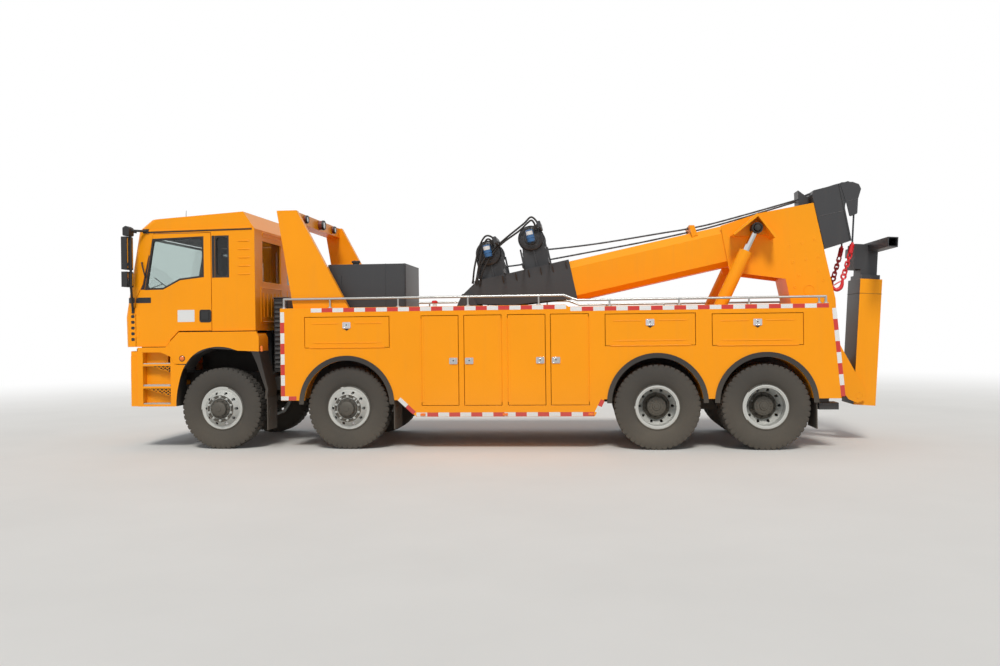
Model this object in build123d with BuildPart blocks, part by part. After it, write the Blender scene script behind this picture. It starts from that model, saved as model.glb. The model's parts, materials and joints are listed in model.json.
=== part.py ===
from build123d import *
import os
from math import cos, hypot, radians, sin

# A heavy tow truck on four axles. X points forward, Y to its left and Z up, in millimetres.
# The origin lies on the ground, under the middle of the whole truck.

# Wheels
tyre_radius = 562.5
tyre_width = 300
tread_width = 244
bead_radius = 258
bead_width = 196
flange_radius = 300
flange_thickness = 12
rim_inner_radius = 250
rim_offset = 172            # from the middle of a rim to the outer face of its disc
disc_thickness = 14
disc_hole_radius = 140
drum_radius = 205
spindle_radius = 45
bearing_clearance = 0.5
rear_spindle_radius = 60
seat_clearance = 0.3
hand_holes = 10
hand_hole_radius = 22
hand_hole_circle = 214

# Axles, from the front one backwards
axle_1_x = 3860
axle_spacings = (1800, 4175, 1400)
front_tyre_y = 1030         # middle of a single front tyre
rear_hub_y = 920            # plane where the two discs of a twin wheel meet
kingpin_y = 890
kingpin_radius = 27
kingpin_clearance = 0.5
kingpin_half_height = 135
eye_half_height = 84
eye_radius = 55

# Frame
frame_front_x = 5020
frame_rear_x = -4280
frame_top_z = 1040
rail_height = 270
rail_outer_y = 425
rail_flange = 80
rail_thickness = 10
deck_beams = (2700, 510, -900, -2300, -3700)

# Cab
cab_half_width = 1200
cab_rear_x = 3345
cab_floor_z = 1430
cab_rear_floor_z = 1640
cab_roof_z = 3285
cab_wall = 55
cab_front_x = 5240
cab_tilt_x = 5110
cab_tilt_z = 1240
cab_pin_radius = 40
door_rear_x = 3965
door_front_x = 5075
panel_gap = 8
glass_thickness = 6

# Body with its side cabinets
body_half_width = 1250
cabinet_inner_y = 700
wall = 40
body_front_x = 2979
body_rear_x = -4342
body_rear_slant = 112       # the rear edge runs back by this much at its foot
deck_front_z = 1935
deck_rear_z = 1905
deck_step_x = -960
deck_thickness = 40
side_bottom_z = 674
centre_bottom_z = 449
centre_front_x = 1099
centre_rear_x = -1291
diagonal_run = 260
arch_radius = 595
arch_centre_z = 622
steered_arch_radius = 680   # inside the body, round the second axle's wheels
arch_trim = 65
arch_trim_depth = 14

# Doors of the cabinets: name, middle in X, width, bottom, top, hinged edge
cabinet_doors = (
    ("door_1", 770, 495, 605, 1805, "front"),
    ("door_2", 190, 495, 605, 1805, "rear"),
    ("door_3", -397, 495, 605, 1805, "front"),
    ("door_4", -971, 495, 605, 1805, "rear"),
    ("hatch_1", 2048, 1165, 1395, 1805, "bottom"),
    ("hatch_2", -2028, 1165, 1385, 1795, "bottom"),
    ("hatch_3", -3409, 1150, 1375, 1780, "bottom"),
)
# Rooms behind them: rear end, front end, floor, ceiling
cabinet_rooms = (
    (1440, 2660, 1340, 1860),
    (-75, 1035, 500, 1860),
    (-1235, -140, 500, 1860),
    (-2630, -1425, 1340, 1830),
    (-4000, -2820, 1340, 1830),
)
door_gap = 8
door_thickness = 40
latch_proud = 6
hinge_proud = 5            # hinge axis outside the skin

# Boom: its own plane has u running back along the boom and w at a right angle, upwards
boom_slope = 12
boom_pivot_x = 510
boom_pivot_z = 2060
boom_pivot_radius = 40
boom_half_width = 330
boom_chamfer_y = 95
boom_side_low = -300
boom_side_high = 95
boom_bottom = -370
boom_top = 203
boom_wall = 16
boom_slide_gap = 6
boom_pad_length = 150
boom_pad_clearance = 0.5
boom_front_u = 1540
boom_mouth_u = 5010
boom_plate = 20
boom_inner_tail_u = 1900
boom_inner_wall = 14
boom_head_u = 5420

# Lift cylinders
lift_foot_x = -2680
lift_foot_z = 1160
lift_pin_u = 4140
lift_pin_w = 40
lift_y = 550
lift_barrel_radius = 88
lift_barrel_length = 1650
lift_rod_radius = 45
lift_rod_length = 1860
lift_eye_radius = 85
lift_top_eye_radius = 75
lift_top_eye_hole = 54
lift_eye_width = 190
lift_pin_radius = 40
lift_top_pin_radius = 30     # leaves the rod's eye room to drift as the boom rises

# Underlift, folded up behind the boom
mast_pivot_x = -4930
mast_pivot_z = 640
mast_lean = 3.6
mast_front = 55
mast_rear = -240
mast_bottom = -130
mast_top = 1620
mast_half_width = 300
mast_wall = 20
mast_pin_radius = 45
head_clearance = 6
crossbar_half_length = 1000
crossbar_size = 130
crossbar_wall = 12

# Stabilisers
foot_x = -4325
leg_x = -4270
foot_y = 1020
foot_z = 520
leg_size = 140
leg_clearance = 0.7
leg_top_z = 1500
foot_length = 250
foot_thickness = 90

axle_x = [axle_1_x]
for spacing in axle_spacings:
    axle_x.append(axle_x[-1] - spacing)
hub_z = tyre_radius
frame_bottom_z = frame_top_z - rail_height
sill_z = frame_top_z + 140
slope = radians(boom_slope)
boom_side = Plane(origin=(boom_pivot_x, 0, boom_pivot_z), x_dir=(-cos(slope), 0, sin(slope)), z_dir=(0, 1, 0))
lean = radians(mast_lean)
mast_side = Plane(origin=(mast_pivot_x, 0, mast_pivot_z), x_dir=(cos(lean), 0, sin(lean)), z_dir=(0, -1, 0))


def block(x, y, z, mode=Mode.ADD):
    with Locations(((x[0] + x[1]) / 2, (y[0] + y[1]) / 2, (z[0] + z[1]) / 2)):
        Box(abs(x[1] - x[0]), abs(y[1] - y[0]), abs(z[1] - z[0]), mode=mode)


def rod(start, end, radius, mode=Mode.ADD):
    run = Vector(*end) - Vector(*start)
    with BuildSketch(Plane(origin=start, z_dir=run)) as section:
        Circle(radius)
    extrude(section.sketch, amount=run.length, mode=mode)


def side_plate(points, y, mode=Mode.ADD):
    # A plate between two values of Y, its outline in X and Z
    with BuildSketch(Plane.XZ.offset(-y[1])) as section:
        Polygon(*points, align=None)
    extrude(section.sketch, amount=y[1] - y[0], mode=mode)


def boom_plate_between(points, y, mode=Mode.ADD):
    # A plate between two values of Y, its outline in the boom's own u and w
    with BuildSketch(boom_side.offset(y[0])) as section:
        Polygon(*points, align=None)
    extrude(section.sketch, amount=y[1] - y[0], mode=mode)


def mast_block(a, b, y, mode=Mode.ADD):
    # A box in the mast's own frame: a runs forward, b up along the mast
    with BuildSketch(mast_side.offset(-y[1])) as section:
        Polygon((a[0], b[0]), (a[1], b[0]), (a[1], b[1]), (a[0], b[1]), align=None)
    extrude(section.sketch, amount=y[1] - y[0], mode=mode)


def boom_point(u, w, y=0):
    point = boom_side.from_local_coords((u, w, 0))
    return (point.X, y, point.Z)


def save(piece, name):
    piece.part.label = name
    export_step(piece.part, f"parts/{name}.step")


def wheel_plane(x, y, outward):
    # Local x runs along the axle, towards the disc, and local y away from the axle
    return Plane(origin=(x, y, hub_z), x_dir=(0, outward, 0), z_dir=(outward, 0, 0))


def wheel_ring(x, y, outward, points, mode=Mode.ADD):
    with BuildSketch(wheel_plane(x, y, outward)) as section:
        Polygon(*points, align=None)
    revolve(section.sketch, axis=Axis((x, y, hub_z), (0, 1, 0)), mode=mode)


def tyre_ring(x, y):
    half_bead = bead_width / 2 - seat_clearance
    inner = bead_radius + seat_clearance
    side = [
        (half_bead, inner),
        (half_bead, flange_radius + 2),
        (tyre_width / 2 - 6, 375),
        (tyre_width / 2, 440),
        (tyre_width / 2 - 10, 520),
        (tread_width / 2, tyre_radius),
    ]
    wheel_ring(x, y, 1, side + [(-across, radius) for across, radius in reversed(side)])


def rim_ring(x, y, outward):
    half = bead_width / 2
    edge = half + flange_thickness
    inner = rim_inner_radius
    face = rim_offset
    back = face - disc_thickness
    wheel_ring(x, y, outward, [
        (-edge, flange_radius - 12), (-edge, flange_radius), (-half, flange_radius),
        (-half, bead_radius), (half, bead_radius), (half, flange_radius),
        (edge, flange_radius), (edge, flange_radius - 12), (half + 4, inner),
        (face - 22, 208), (face, 186), (face, disc_hole_radius),
        (back, disc_hole_radius), (back, 180), (face - 32, 197),
        (half - 14, inner), (8 - edge, inner),
    ])
    holes = Plane(origin=(x, y, hub_z), x_dir=(1, 0, 0), z_dir=(0, outward, 0))
    with BuildSketch(holes.offset(half - 20)) as openings:
        with PolarLocations(hand_hole_circle, hand_holes):
            RegularPolygon(hand_hole_radius, 6)
    extrude(openings.sketch, amount=face, mode=Mode.SUBTRACT)


# Tyres and rims: single on axles 1 and 2, twin on axles 3 and 4
def make_tyres(axle, side):
    with BuildPart() as tyre:
        if axle < 2:
            tyre_ring(axle_x[axle], side * front_tyre_y)
        else:
            for offset in (-rim_offset, rim_offset):
                tyre_ring(axle_x[axle], side * (rear_hub_y + offset))
    return tyre


def front_hub(x, side):
    bore = spindle_radius + bearing_clearance
    back = rim_offset - disc_thickness
    wheel_ring(x, side * front_tyre_y, side, [
        (-30, drum_radius), (112, drum_radius), (118, 176), (back + 2, 176),
        (back + 2, disc_hole_radius), (rim_offset + 12, disc_hole_radius - 8),
        (rim_offset + 14, 104), (rim_offset + 58, 96), (rim_offset + 70, 60),
        (rim_offset + 70, 0), (back - 8, 0), (back - 8, bore), (-25, bore),
        (-25, bore + 12), (90, bore + 12), (90, drum_radius - 17), (-30, drum_radius - 17),
    ])


def rear_hub(x, side):
    bore = rear_spindle_radius + bearing_clearance
    back = -2 * disc_thickness - 6
    wheel_ring(x, side * rear_hub_y, side, [
        (-190, drum_radius), (back - 8, drum_radius), (back, 178), (-disc_thickness + 2, 178),
        (-disc_thickness + 2, disc_hole_radius), (20, disc_hole_radius), (70, 128),
        (118, 124), (124, 112), (124, 60), (136, 52), (136, 0), (40, 0), (40, bore),
        (-160, bore), (-160, bore + 12), (-60, bore + 12), (-60, drum_radius - 17),
        (-190, drum_radius - 17),
    ])


def make_rims(axle, side):
    x = axle_x[axle]
    with BuildPart() as rim:
        if axle < 2:
            rim_ring(x, side * front_tyre_y, side)
            front_hub(x, side)
        else:
            rim_ring(x, side * (rear_hub_y - rim_offset), side)
            rim_ring(x, side * (rear_hub_y + rim_offset), -side)
            rear_hub(x, side)
    return rim


def make_knuckle(axle, side):
    x = axle_x[axle]
    y = side * kingpin_y
    web = sorted((side * (kingpin_y + 65), side * (kingpin_y + 95)))
    arm = sorted((y, side * (kingpin_y + 95)))
    low = eye_half_height + bearing_clearance
    with BuildPart() as knuckle:
        block((x - 60, x + 60), web, (hub_z - kingpin_half_height, hub_z + kingpin_half_height))
        for sign in (-1, 1):
            ends = sorted((hub_z + sign * low, hub_z + sign * kingpin_half_height))
            rod((x, y, ends[0]), (x, y, ends[1]), 60)
            block((x - 45, x + 45), arm, ends)
        rod((x, y, hub_z - kingpin_half_height), (x, y, hub_z + kingpin_half_height), kingpin_radius)
        rod((x, web[0] if side < 0 else web[1], hub_z), (x, side * (front_tyre_y + 115), hub_z), spindle_radius)
        rod((x, side * (kingpin_y + 95), hub_z), (x, side * (kingpin_y + 103), hub_z), 190)
    return knuckle


# Axles, springs, engine, gearbox and shafts
spring_half_length = 750
spring_y = (372, 450)
bogie_spring_y = (440, 530)
engine_x = (3180, 4380)
engine_half_width = 330
engine_z = (800, 1590)
gearbox_x = (2480, 3180)


def front_axle(x):
    with BuildSketch(Plane.YZ.offset(x - 45)) as beam:
        Polygon(
            (-kingpin_y, hub_z - 50), (-780, hub_z - 50), (-600, 435), (600, 435), (780, hub_z - 50),
            (kingpin_y, hub_z - 50), (kingpin_y, hub_z + 50), (780, hub_z + 50), (600, 545),
            (-600, 545), (-780, hub_z + 50), (-kingpin_y, hub_z + 50), align=None)
    extrude(beam.sketch, amount=90)
    for side in (-1, 1):
        y = side * kingpin_y
        rod((x, y, hub_z - eye_half_height), (x, y, hub_z + eye_half_height), eye_radius)
        rod((x, y, hub_z - eye_half_height), (x, y, hub_z + eye_half_height),
            kingpin_radius + kingpin_clearance, Mode.SUBTRACT)
        ends = sorted((side * spring_y[0], side * spring_y[1]))
        with BuildSketch(Plane.XZ.offset(-ends[1])) as leaves:
            with BuildLine():
                ThreePointArc((x - spring_half_length, 738), (x, 618), (x + spring_half_length, 738))
                Line((x + spring_half_length, 738), (x + spring_half_length, 706))
                ThreePointArc((x + spring_half_length, 706), (x, 525), (x - spring_half_length, 706))
                Line((x - spring_half_length, 706), (x - spring_half_length, 738))
            make_face()
        extrude(leaves.sketch, amount=ends[1] - ends[0])
        for end in (-1, 1):
            middle = x + end * spring_half_length
            block((middle - 45, middle + 45), ends, (696, frame_bottom_z))


def rear_axle(x):
    rod((x, -rear_hub_y + 205, hub_z), (x, rear_hub_y - 205, hub_z), 78)
    rod((x, -rear_hub_y - 20, hub_z), (x, rear_hub_y + 20, hub_z), rear_spindle_radius)
    rod((x, -120, hub_z), (x, 120, hub_z), 225)
    rod((x - 60, 0, hub_z), (x + 330, 0, hub_z + 20), 120)


def make_axles_and_engine():
    bogie_x = (axle_x[2] + axle_x[3]) / 2
    with BuildPart() as gear:
        for x in axle_x[:2]:
            front_axle(x)
        for x in axle_x[2:]:
            rear_axle(x)
        for side in (-1, 1):
            ends = sorted((side * bogie_spring_y[0], side * bogie_spring_y[1]))
            with BuildSketch(Plane.XZ.offset(-ends[1])):
                with BuildLine():
                    ThreePointArc((axle_x[2] + 70, 680), (bogie_x, 765), (axle_x[3] - 70, 680))
                    Line((axle_x[3] - 70, 680), (axle_x[3] - 70, 630))
                    ThreePointArc((axle_x[3] - 70, 630), (bogie_x, 640), (axle_x[2] + 70, 630))
                    Line((axle_x[2] + 70, 630), (axle_x[2] + 70, 680))
                make_face()
            extrude(amount=ends[1] - ends[0])
            mount = sorted((side * rail_outer_y, side * 560))
            block((bogie_x - 110, bogie_x + 110), mount, (480, 800))
        rod((bogie_x, -560, 560), (bogie_x, 560, 560), 55)
        rod((axle_x[3] + 330, 0, hub_z + 20), (axle_x[2] - 60, 0, hub_z), 55)
        rod((axle_x[2] + 330, 0, hub_z + 20), (0, 0, 700), 60)
        rod((0, 0, 700), (gearbox_x[0] + 20, 0, 860), 60)
        block(engine_x, (-engine_half_width, engine_half_width), engine_z)
        block((gearbox_x[0], gearbox_x[1]), (-240, 240), (720, 1050))
    return gear


# Frame: two channels, cross members, the long beams of the body and the lift cylinders' brackets
def make_frame():
    crossings = (4860, 2300, 1250, 200, -1000, -1750, -2815, -3900)
    with BuildPart() as frame:
        for side in (-1, 1):
            outer = side * rail_outer_y
            inner = side * (rail_outer_y - rail_flange)
            web = side * (rail_outer_y - rail_thickness)
            ends = (frame_rear_x, frame_front_x)
            block(ends, sorted((outer, web)), (frame_bottom_z, frame_top_z))
            block(ends, sorted((outer, inner)), (frame_bottom_z, frame_bottom_z + rail_thickness))
            block(ends, sorted((outer, inner)), (frame_top_z - rail_thickness, frame_top_z))
            block((frame_rear_x, body_front_x - 100), sorted((outer, inner)), (frame_top_z, sill_z))
            block((3400, 3470), sorted((outer, inner)), (frame_top_z - 5, cab_rear_floor_z - seat_clearance))
            lift = (side * (rail_outer_y - 1), side * (lift_y - lift_eye_width / 2 - 5))
            side_plate([
                (lift_foot_x - 260, frame_top_z - 120), (lift_foot_x + 260, frame_top_z - 120),
                (lift_foot_x + 90, lift_foot_z + 90), (lift_foot_x - 90, lift_foot_z + 90),
            ], sorted(lift))
        for x in crossings:
            block((x - 50, x + 50), (-rail_outer_y + rail_thickness, rail_outer_y - rail_thickness),
                  (frame_top_z - 120, frame_top_z - 30))
        for x in deck_beams:
            block((x - 40, x + 40), (-cabinet_inner_y, cabinet_inner_y), (sill_z, sill_z + 60))
        reach = lift_y + lift_eye_width / 2
        rod((lift_foot_x, -reach, lift_foot_z), (lift_foot_x, reach, lift_foot_z), lift_pin_radius)
        block((frame_front_x - 120, frame_front_x), (-rail_outer_y, rail_outer_y),
              (frame_bottom_z + 40, frame_top_z - 40))
        for side in (-1, 1):
            ends = sorted((side * (rail_outer_y - rail_thickness), side * (rail_outer_y + 60)))
            block((frame_front_x - 60, frame_front_x + 110), ends, (frame_bottom_z, cab_tilt_z - 45))
            reach = sorted((ends[0] if side > 0 else ends[1], side * (rail_outer_y + 112)))
            rod((cab_tilt_x, reach[0], cab_tilt_z), (cab_tilt_x, reach[1], cab_tilt_z), cab_pin_radius)
            block((cab_tilt_x - 45, cab_tilt_x + 45), ends, (cab_tilt_z - 90, cab_tilt_z))
    return frame


# Cab: one closed form whose walls, doors and windows are cut from each other
cab_profile = (
    (cab_rear_x, cab_rear_floor_z), (4440, cab_rear_floor_z), (4560, 1520), (4640, cab_floor_z),
    (cab_front_x - 10, cab_floor_z), (cab_front_x, 1850), (cab_front_x - 45, 2110),
    (cab_front_x - 215, 3060), (4850, 3200), (3502, cab_roof_z), (cab_rear_x, 3049),
)
side_window = ((4815, 2935), (4074, 2955), (4074, 2388), (4419, 2350), (4665, 2225), (4935, 2222))
quarter_window = ((3915, 2960), (3712, 2960), (3712, 2378), (3915, 2378))
rear_window_y = (140, 900)
rear_window_z = (2330, 2900)
windscreen_half_width = 1010
tilt_plate_y = (rail_outer_y + 66, rail_outer_y + 110)


def cab_form(inset, mode=Mode.ADD):
    with BuildSketch(Plane.XZ) as section:
        Polygon(*cab_profile, align=None)
        if inset:
            offset(amount=-inset, kind=Kind.INTERSECTION, mode=Mode.REPLACE)
    extrude(section.sketch, amount=cab_half_width - inset, both=True, mode=mode)


def cab_body():
    # The outer form with its corners rounded, less the room inside
    with BuildPart() as body:
        cab_form(0)
        fillet(body.edges().filter_by(lambda e: e.center().X > 4700 and abs(e.center().Y) > 1100
                                      and abs(e.tangent_at(0.5).Y) < 0.1 and e.center().Z > 1500), 90)
        cab_form(cab_wall, Mode.SUBTRACT)
    return body


def door_outline(gap):
    return [
        (door_rear_x + gap, 3000), (4800, 3000), (4960, 2300), (door_front_x - gap, 2080),
        (door_front_x - gap, cab_floor_z - 50), (4640 - gap, cab_floor_z - 50),
        (4560 + gap, 1520 + gap), (4440 + gap, cab_rear_floor_z + gap), (door_rear_x + gap, cab_rear_floor_z + gap),
    ]


def make_cab_shell():
    body = cab_body()
    with BuildPart() as shell:
        add(body.part)
        for side in (-1, 1):
            wall_y = sorted((side * (cab_half_width - cab_wall - 20), side * (cab_half_width + 20)))
            side_plate([
                (door_rear_x, 3000 + panel_gap), (4800, 3000 + panel_gap), (4966, 2300),
                (door_front_x, 2080), (door_front_x, cab_floor_z - 60), (4640, cab_floor_z - 60),
                (4560, 1520), (4440, cab_rear_floor_z), (door_rear_x, cab_rear_floor_z),
            ], wall_y, Mode.SUBTRACT)
            side_plate(quarter_window, wall_y, Mode.SUBTRACT)
            rear = sorted((side * rear_window_y[0], side * rear_window_y[1]))
            block((cab_rear_x - 20, cab_rear_x + cab_wall + 20), rear, rear_window_z, Mode.SUBTRACT)
            ends = sorted((side * tilt_plate_y[0], side * tilt_plate_y[1]))
            side_plate([
                (cab_tilt_x - 60, cab_floor_z + 10), (cab_tilt_x + 60, cab_floor_z + 10),
                (cab_tilt_x + 55, cab_tilt_z - 65), (cab_tilt_x - 55, cab_tilt_z - 65),
            ], ends)
            rod((cab_tilt_x, ends[0] - 5, cab_tilt_z), (cab_tilt_x, ends[1] + 5, cab_tilt_z),
                cab_pin_radius + bearing_clearance, Mode.SUBTRACT)
        low = (cab_front_x - 60, 2200)
        high = (cab_front_x - 205, 2990)
        side_plate([
            (low[0] - 120, low[1]), (low[0] + 120, low[1] + 22), (high[0] + 120, high[1] + 22),
            (high[0] - 120, high[1]),
        ], (-windscreen_half_width, windscreen_half_width), Mode.SUBTRACT)
    return shell


def make_cab_door(side):
    body = cab_body()
    with BuildPart() as door:
        add(body.part)
        wall_y = sorted((side * (cab_half_width - cab_wall - 1), side * (cab_half_width + 20)))
        side_plate(door_outline(panel_gap), wall_y, Mode.INTERSECT)
        side_plate(side_window, sorted((side * 1000, side * 1300)), Mode.SUBTRACT)
        axis_x = door_front_x - panel_gap / 2
        axis_y = side * (cab_half_width + hinge_proud)
        radius = hypot(panel_gap / 2, hinge_proud) - seat_clearance
        leaf_y = sorted((side * (cab_half_width - 0.5), side * (cab_half_width + 3)))
        for z in (1560, 1880):
            rod((axis_x, axis_y, z), (axis_x, axis_y, z + 90), radius)
            block((axis_x - 50, axis_x), leaf_y, (z, z + 90))
    return door


def make_cab_glass():
    # Fixed panes: windscreen, quarter windows and rear windows
    low = (cab_front_x - 60, 2200)
    high = (cab_front_x - 205, 2990)
    setback = 22
    with BuildPart() as glass:
        width = windscreen_half_width - seat_clearance
        side_plate([
            (low[0] - setback, low[1] + 12), (low[0] - setback + glass_thickness, low[1] + 12),
            (high[0] - setback + glass_thickness, high[1] - 1), (high[0] - setback, high[1] - 1),
        ], (-width, width))
        x = [p[0] for p in quarter_window]
        z = [p[1] for p in quarter_window]
        for side in (-1, 1):
            pane = sorted((side * (cab_half_width - 20), side * (cab_half_width - 20 - glass_thickness)))
            block((min(x) + seat_clearance, max(x) - seat_clearance), pane,
                  (min(z) + seat_clearance, max(z) - seat_clearance))
            rear = sorted((side * (rear_window_y[0] + seat_clearance), side * (rear_window_y[1] - seat_clearance)))
            block((cab_rear_x + 20, cab_rear_x + 20 + glass_thickness), rear,
                  (rear_window_z[0] + seat_clearance, rear_window_z[1] - seat_clearance))
    return glass


seat_y = 520
seat_floor_z = cab_rear_floor_z + cab_wall


def make_cab_interior():
    # Two seats, a bunk, the dashboard and the steering wheel on its column
    with BuildPart() as inside:
        for side in (-1, 1):
            y = (side * seat_y - 240, side * seat_y + 240)
            block((4080, 4330), (y[0] + 60, y[1] - 60), (seat_floor_z, 1960))
            block((3960, 4460), y, (1960, 2080))
            side_plate([(3960, 2080), (4090, 2080), (3990, 2740), (3890, 2740)], y)
        block((cab_rear_x + cab_wall, 3840), (-1080, 1080), (seat_floor_z, 2050))
        block((4850, 5100), (-150, 150), (cab_floor_z + cab_wall, 1800))
        side_plate([
            (cab_front_x - cab_wall - 60, cab_floor_z + cab_wall + 200), (cab_front_x - cab_wall - 60, 2120),
            (4800, 2170), (4720, 2000), (4900, 1750),
        ], (-1080, 1080))
        rod((4760, seat_y, 2020), (4610, seat_y, 2190), 35)
        wheel = Plane(origin=(4610, seat_y, 2190), z_dir=(-0.66, 0, 0.75))
        with BuildSketch(wheel):
            Circle(225)
            Circle(195, mode=Mode.SUBTRACT)
            Rectangle(400, 40)
            Circle(60)
        extrude(amount=25)
    return inside


# Bumper and steps
bumper_top_z = 1300
bumper_bottom_z = 600
step_rear_x = 4480
step_inner_y = 900
bumper_rear_x = 5040
tilt_slot_z = 1195
tilt_slot_clearance = 10


def make_bumper():
    with BuildPart() as bumper:
        with BuildSketch(Plane.XY.offset(bumper_bottom_z)):
            with BuildLine():
                Polyline((bumper_rear_x, -1200), (5150, -1200), (5215, -1060))
                ThreePointArc((5215, -1060), (5262, 0), (5215, 1060))
                Polyline((5215, 1060), (5150, 1200), (bumper_rear_x, 1200), (bumper_rear_x, -1200))
            make_face()
        extrude(amount=bumper_top_z - bumper_bottom_z)
        with BuildSketch(Plane.XY.offset(bumper_bottom_z - 1)):
            with BuildLine():
                Polyline((bumper_rear_x - 5, -1140), (5100, -1140), (5150, -1020))
                ThreePointArc((5150, -1020), (5195, 0), (5150, 1020))
                Polyline((5150, 1020), (5100, 1140), (bumper_rear_x - 5, 1140), (bumper_rear_x - 5, -1140))
            make_face()
        extrude(amount=bumper_top_z - bumper_bottom_z + 2, mode=Mode.SUBTRACT)
        block((5090, 5300), (-420, 420), (980, 1130), Mode.SUBTRACT)
        block((frame_front_x, 5195), (-340, -300), (800, 960))
        block((frame_front_x, 5195), (300, 340), (800, 960))
        for side in (-1, 1):
            slot = sorted((side * (tilt_plate_y[0] - tilt_slot_clearance),
                           side * (tilt_plate_y[1] + tilt_slot_clearance)))
            block((5100, 5300), slot, (tilt_slot_z, bumper_top_z + 5), Mode.SUBTRACT)
            lamp = sorted((side * 760, side * 1080))
            block((5040, 5300), lamp, (930, 1130), Mode.SUBTRACT)
            outer = sorted((side * step_inner_y, side * 1235))
            recess = sorted((side * (step_inner_y + 120), side * 1300))
            side_plate([
                (bumper_rear_x, bumper_bottom_z), (bumper_rear_x, 1350), (4700, 1350), (4560, 1290),
                (step_rear_x, 1130), (step_rear_x, bumper_bottom_z),
            ], outer)
            for z in ((880, 1160), (bumper_bottom_z + 30, 850)):
                block((4560, 4960), recess, z, Mode.SUBTRACT)
            block((4560, 4960), recess, (1190, 1400), Mode.SUBTRACT)
            block((4640, 4940), sorted((side * rail_outer_y, side * (step_inner_y + 5))), (860, 930))
    return bumper


def rear_face_x(z):
    return body_rear_x - body_rear_slant * (deck_rear_z - z) / (deck_rear_z - side_bottom_z)


def make_lamps():
    # Headlamps in the bumper, flank lamps, and the lamps of the gantry and the tail
    with BuildPart() as lamps:
        for side in (-1, 1):
            y = sorted((side * (760 + seat_clearance), side * (1080 - seat_clearance)))
            block((5110, 5165), y, (930 + seat_clearance, 1130 - seat_clearance))
            tail = sorted((side * 1000, side * 1180))
            side_plate([
                (rear_face_x(850) - seat_clearance, 850), (rear_face_x(760) - seat_clearance, 760),
                (rear_face_x(760) - 36, 760), (rear_face_x(850) - 36, 850),
            ], tail)
            start = gantry_beam_x[0] - seat_clearance
            rod((start, side * 700, gantry_top_z - 70), (start - 40, side * 700, gantry_top_z - 70), 55)
        rod((start, 0, gantry_top_z - 75), (start - 70, 0, gantry_top_z - 75), 70)
    return lamps


def make_mirrors():
    # A main mirror and a wide-angle one on each side, the kerb mirror and their arms
    with BuildPart() as mirrors:
        for side in (-1, 1):
            main = sorted((side * 1270, side * 1450))
            block((5060, 5140), main, (2500, 2950))
            block((5060, 5140), main, (2260, 2470))
            rod((5050, side * 1360, 2240), (5050, side * 1360, 3060), 18)
            rod((5050, side * 1360, 3040), (4900, side * 1216, 3040), 16)
            rod((5050, side * 1360, 2250), (5104, side * 1216, 1946), 16)
            foot = sorted((side * (cab_half_width + seat_clearance), side * (cab_half_width + 18)))
            block((4860, 4940), foot, (3012, 3070))
            block((5086, 5122), foot, (1900, 1980))
    return mirrors


# Body
def deck_z_at(x):
    return deck_front_z if x > deck_step_x else deck_rear_z


def make_cabinet():
    # The cabinet on the left
    outer = body_half_width
    with BuildPart() as cabinet:
        side_plate([
            (body_front_x, deck_front_z), (body_front_x, side_bottom_z),
            (centre_front_x + diagonal_run, side_bottom_z), (centre_front_x, centre_bottom_z),
            (centre_rear_x, centre_bottom_z), (centre_rear_x - diagonal_run / 2, side_bottom_z),
            (body_rear_x - body_rear_slant, side_bottom_z), (body_rear_x, deck_rear_z),
            (deck_step_x, deck_rear_z), (deck_step_x + 40, deck_front_z),
        ], (cabinet_inner_y, outer))
        for x in axle_x[1:]:
            side_plate([
                (x - arch_radius, 400), (x + arch_radius, 400), (x + arch_radius, arch_centre_z),
                (x - arch_radius, arch_centre_z),
            ], (cabinet_inner_y - 10, outer + 10), Mode.SUBTRACT)
            rod((x, cabinet_inner_y - 10, arch_centre_z), (x, outer + 10, arch_centre_z), arch_radius, Mode.SUBTRACT)
        x = axle_x[1]
        inside = outer - wall
        rod((x, cabinet_inner_y - 10, arch_centre_z), (x, inside, arch_centre_z), steered_arch_radius, Mode.SUBTRACT)
        block((x - steered_arch_radius, x + steered_arch_radius), (cabinet_inner_y - 10, inside),
              (400, arch_centre_z), Mode.SUBTRACT)
        for rear, front, floor, ceiling in cabinet_rooms:
            block((rear, front), (cabinet_inner_y + wall, inside), (floor, ceiling), Mode.SUBTRACT)
        for name, middle, width, low, high, hinge in cabinet_doors:
            block((middle - width / 2 - door_gap, middle + width / 2 + door_gap), (inside - 5, outer + 5),
                  (low - door_gap, high + door_gap), Mode.SUBTRACT)
        block((leg_x - leg_size / 2 - leg_clearance, leg_x + leg_size / 2 + leg_clearance),
              (foot_y - leg_size / 2 - leg_clearance, foot_y + leg_size / 2 + leg_clearance),
              (side_bottom_z - 20, leg_top_z + 60), Mode.SUBTRACT)
    return cabinet


gantry_top_z = 3285
gantry_beam_x = (2790, 3000)
gantry_leg_y = (1095, 1185)
deck_slot_x = -4000
deck_slot_y = 400
lift_slot_x = (-3260, -2560)
boom_lug_y = (345, 395)


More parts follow.
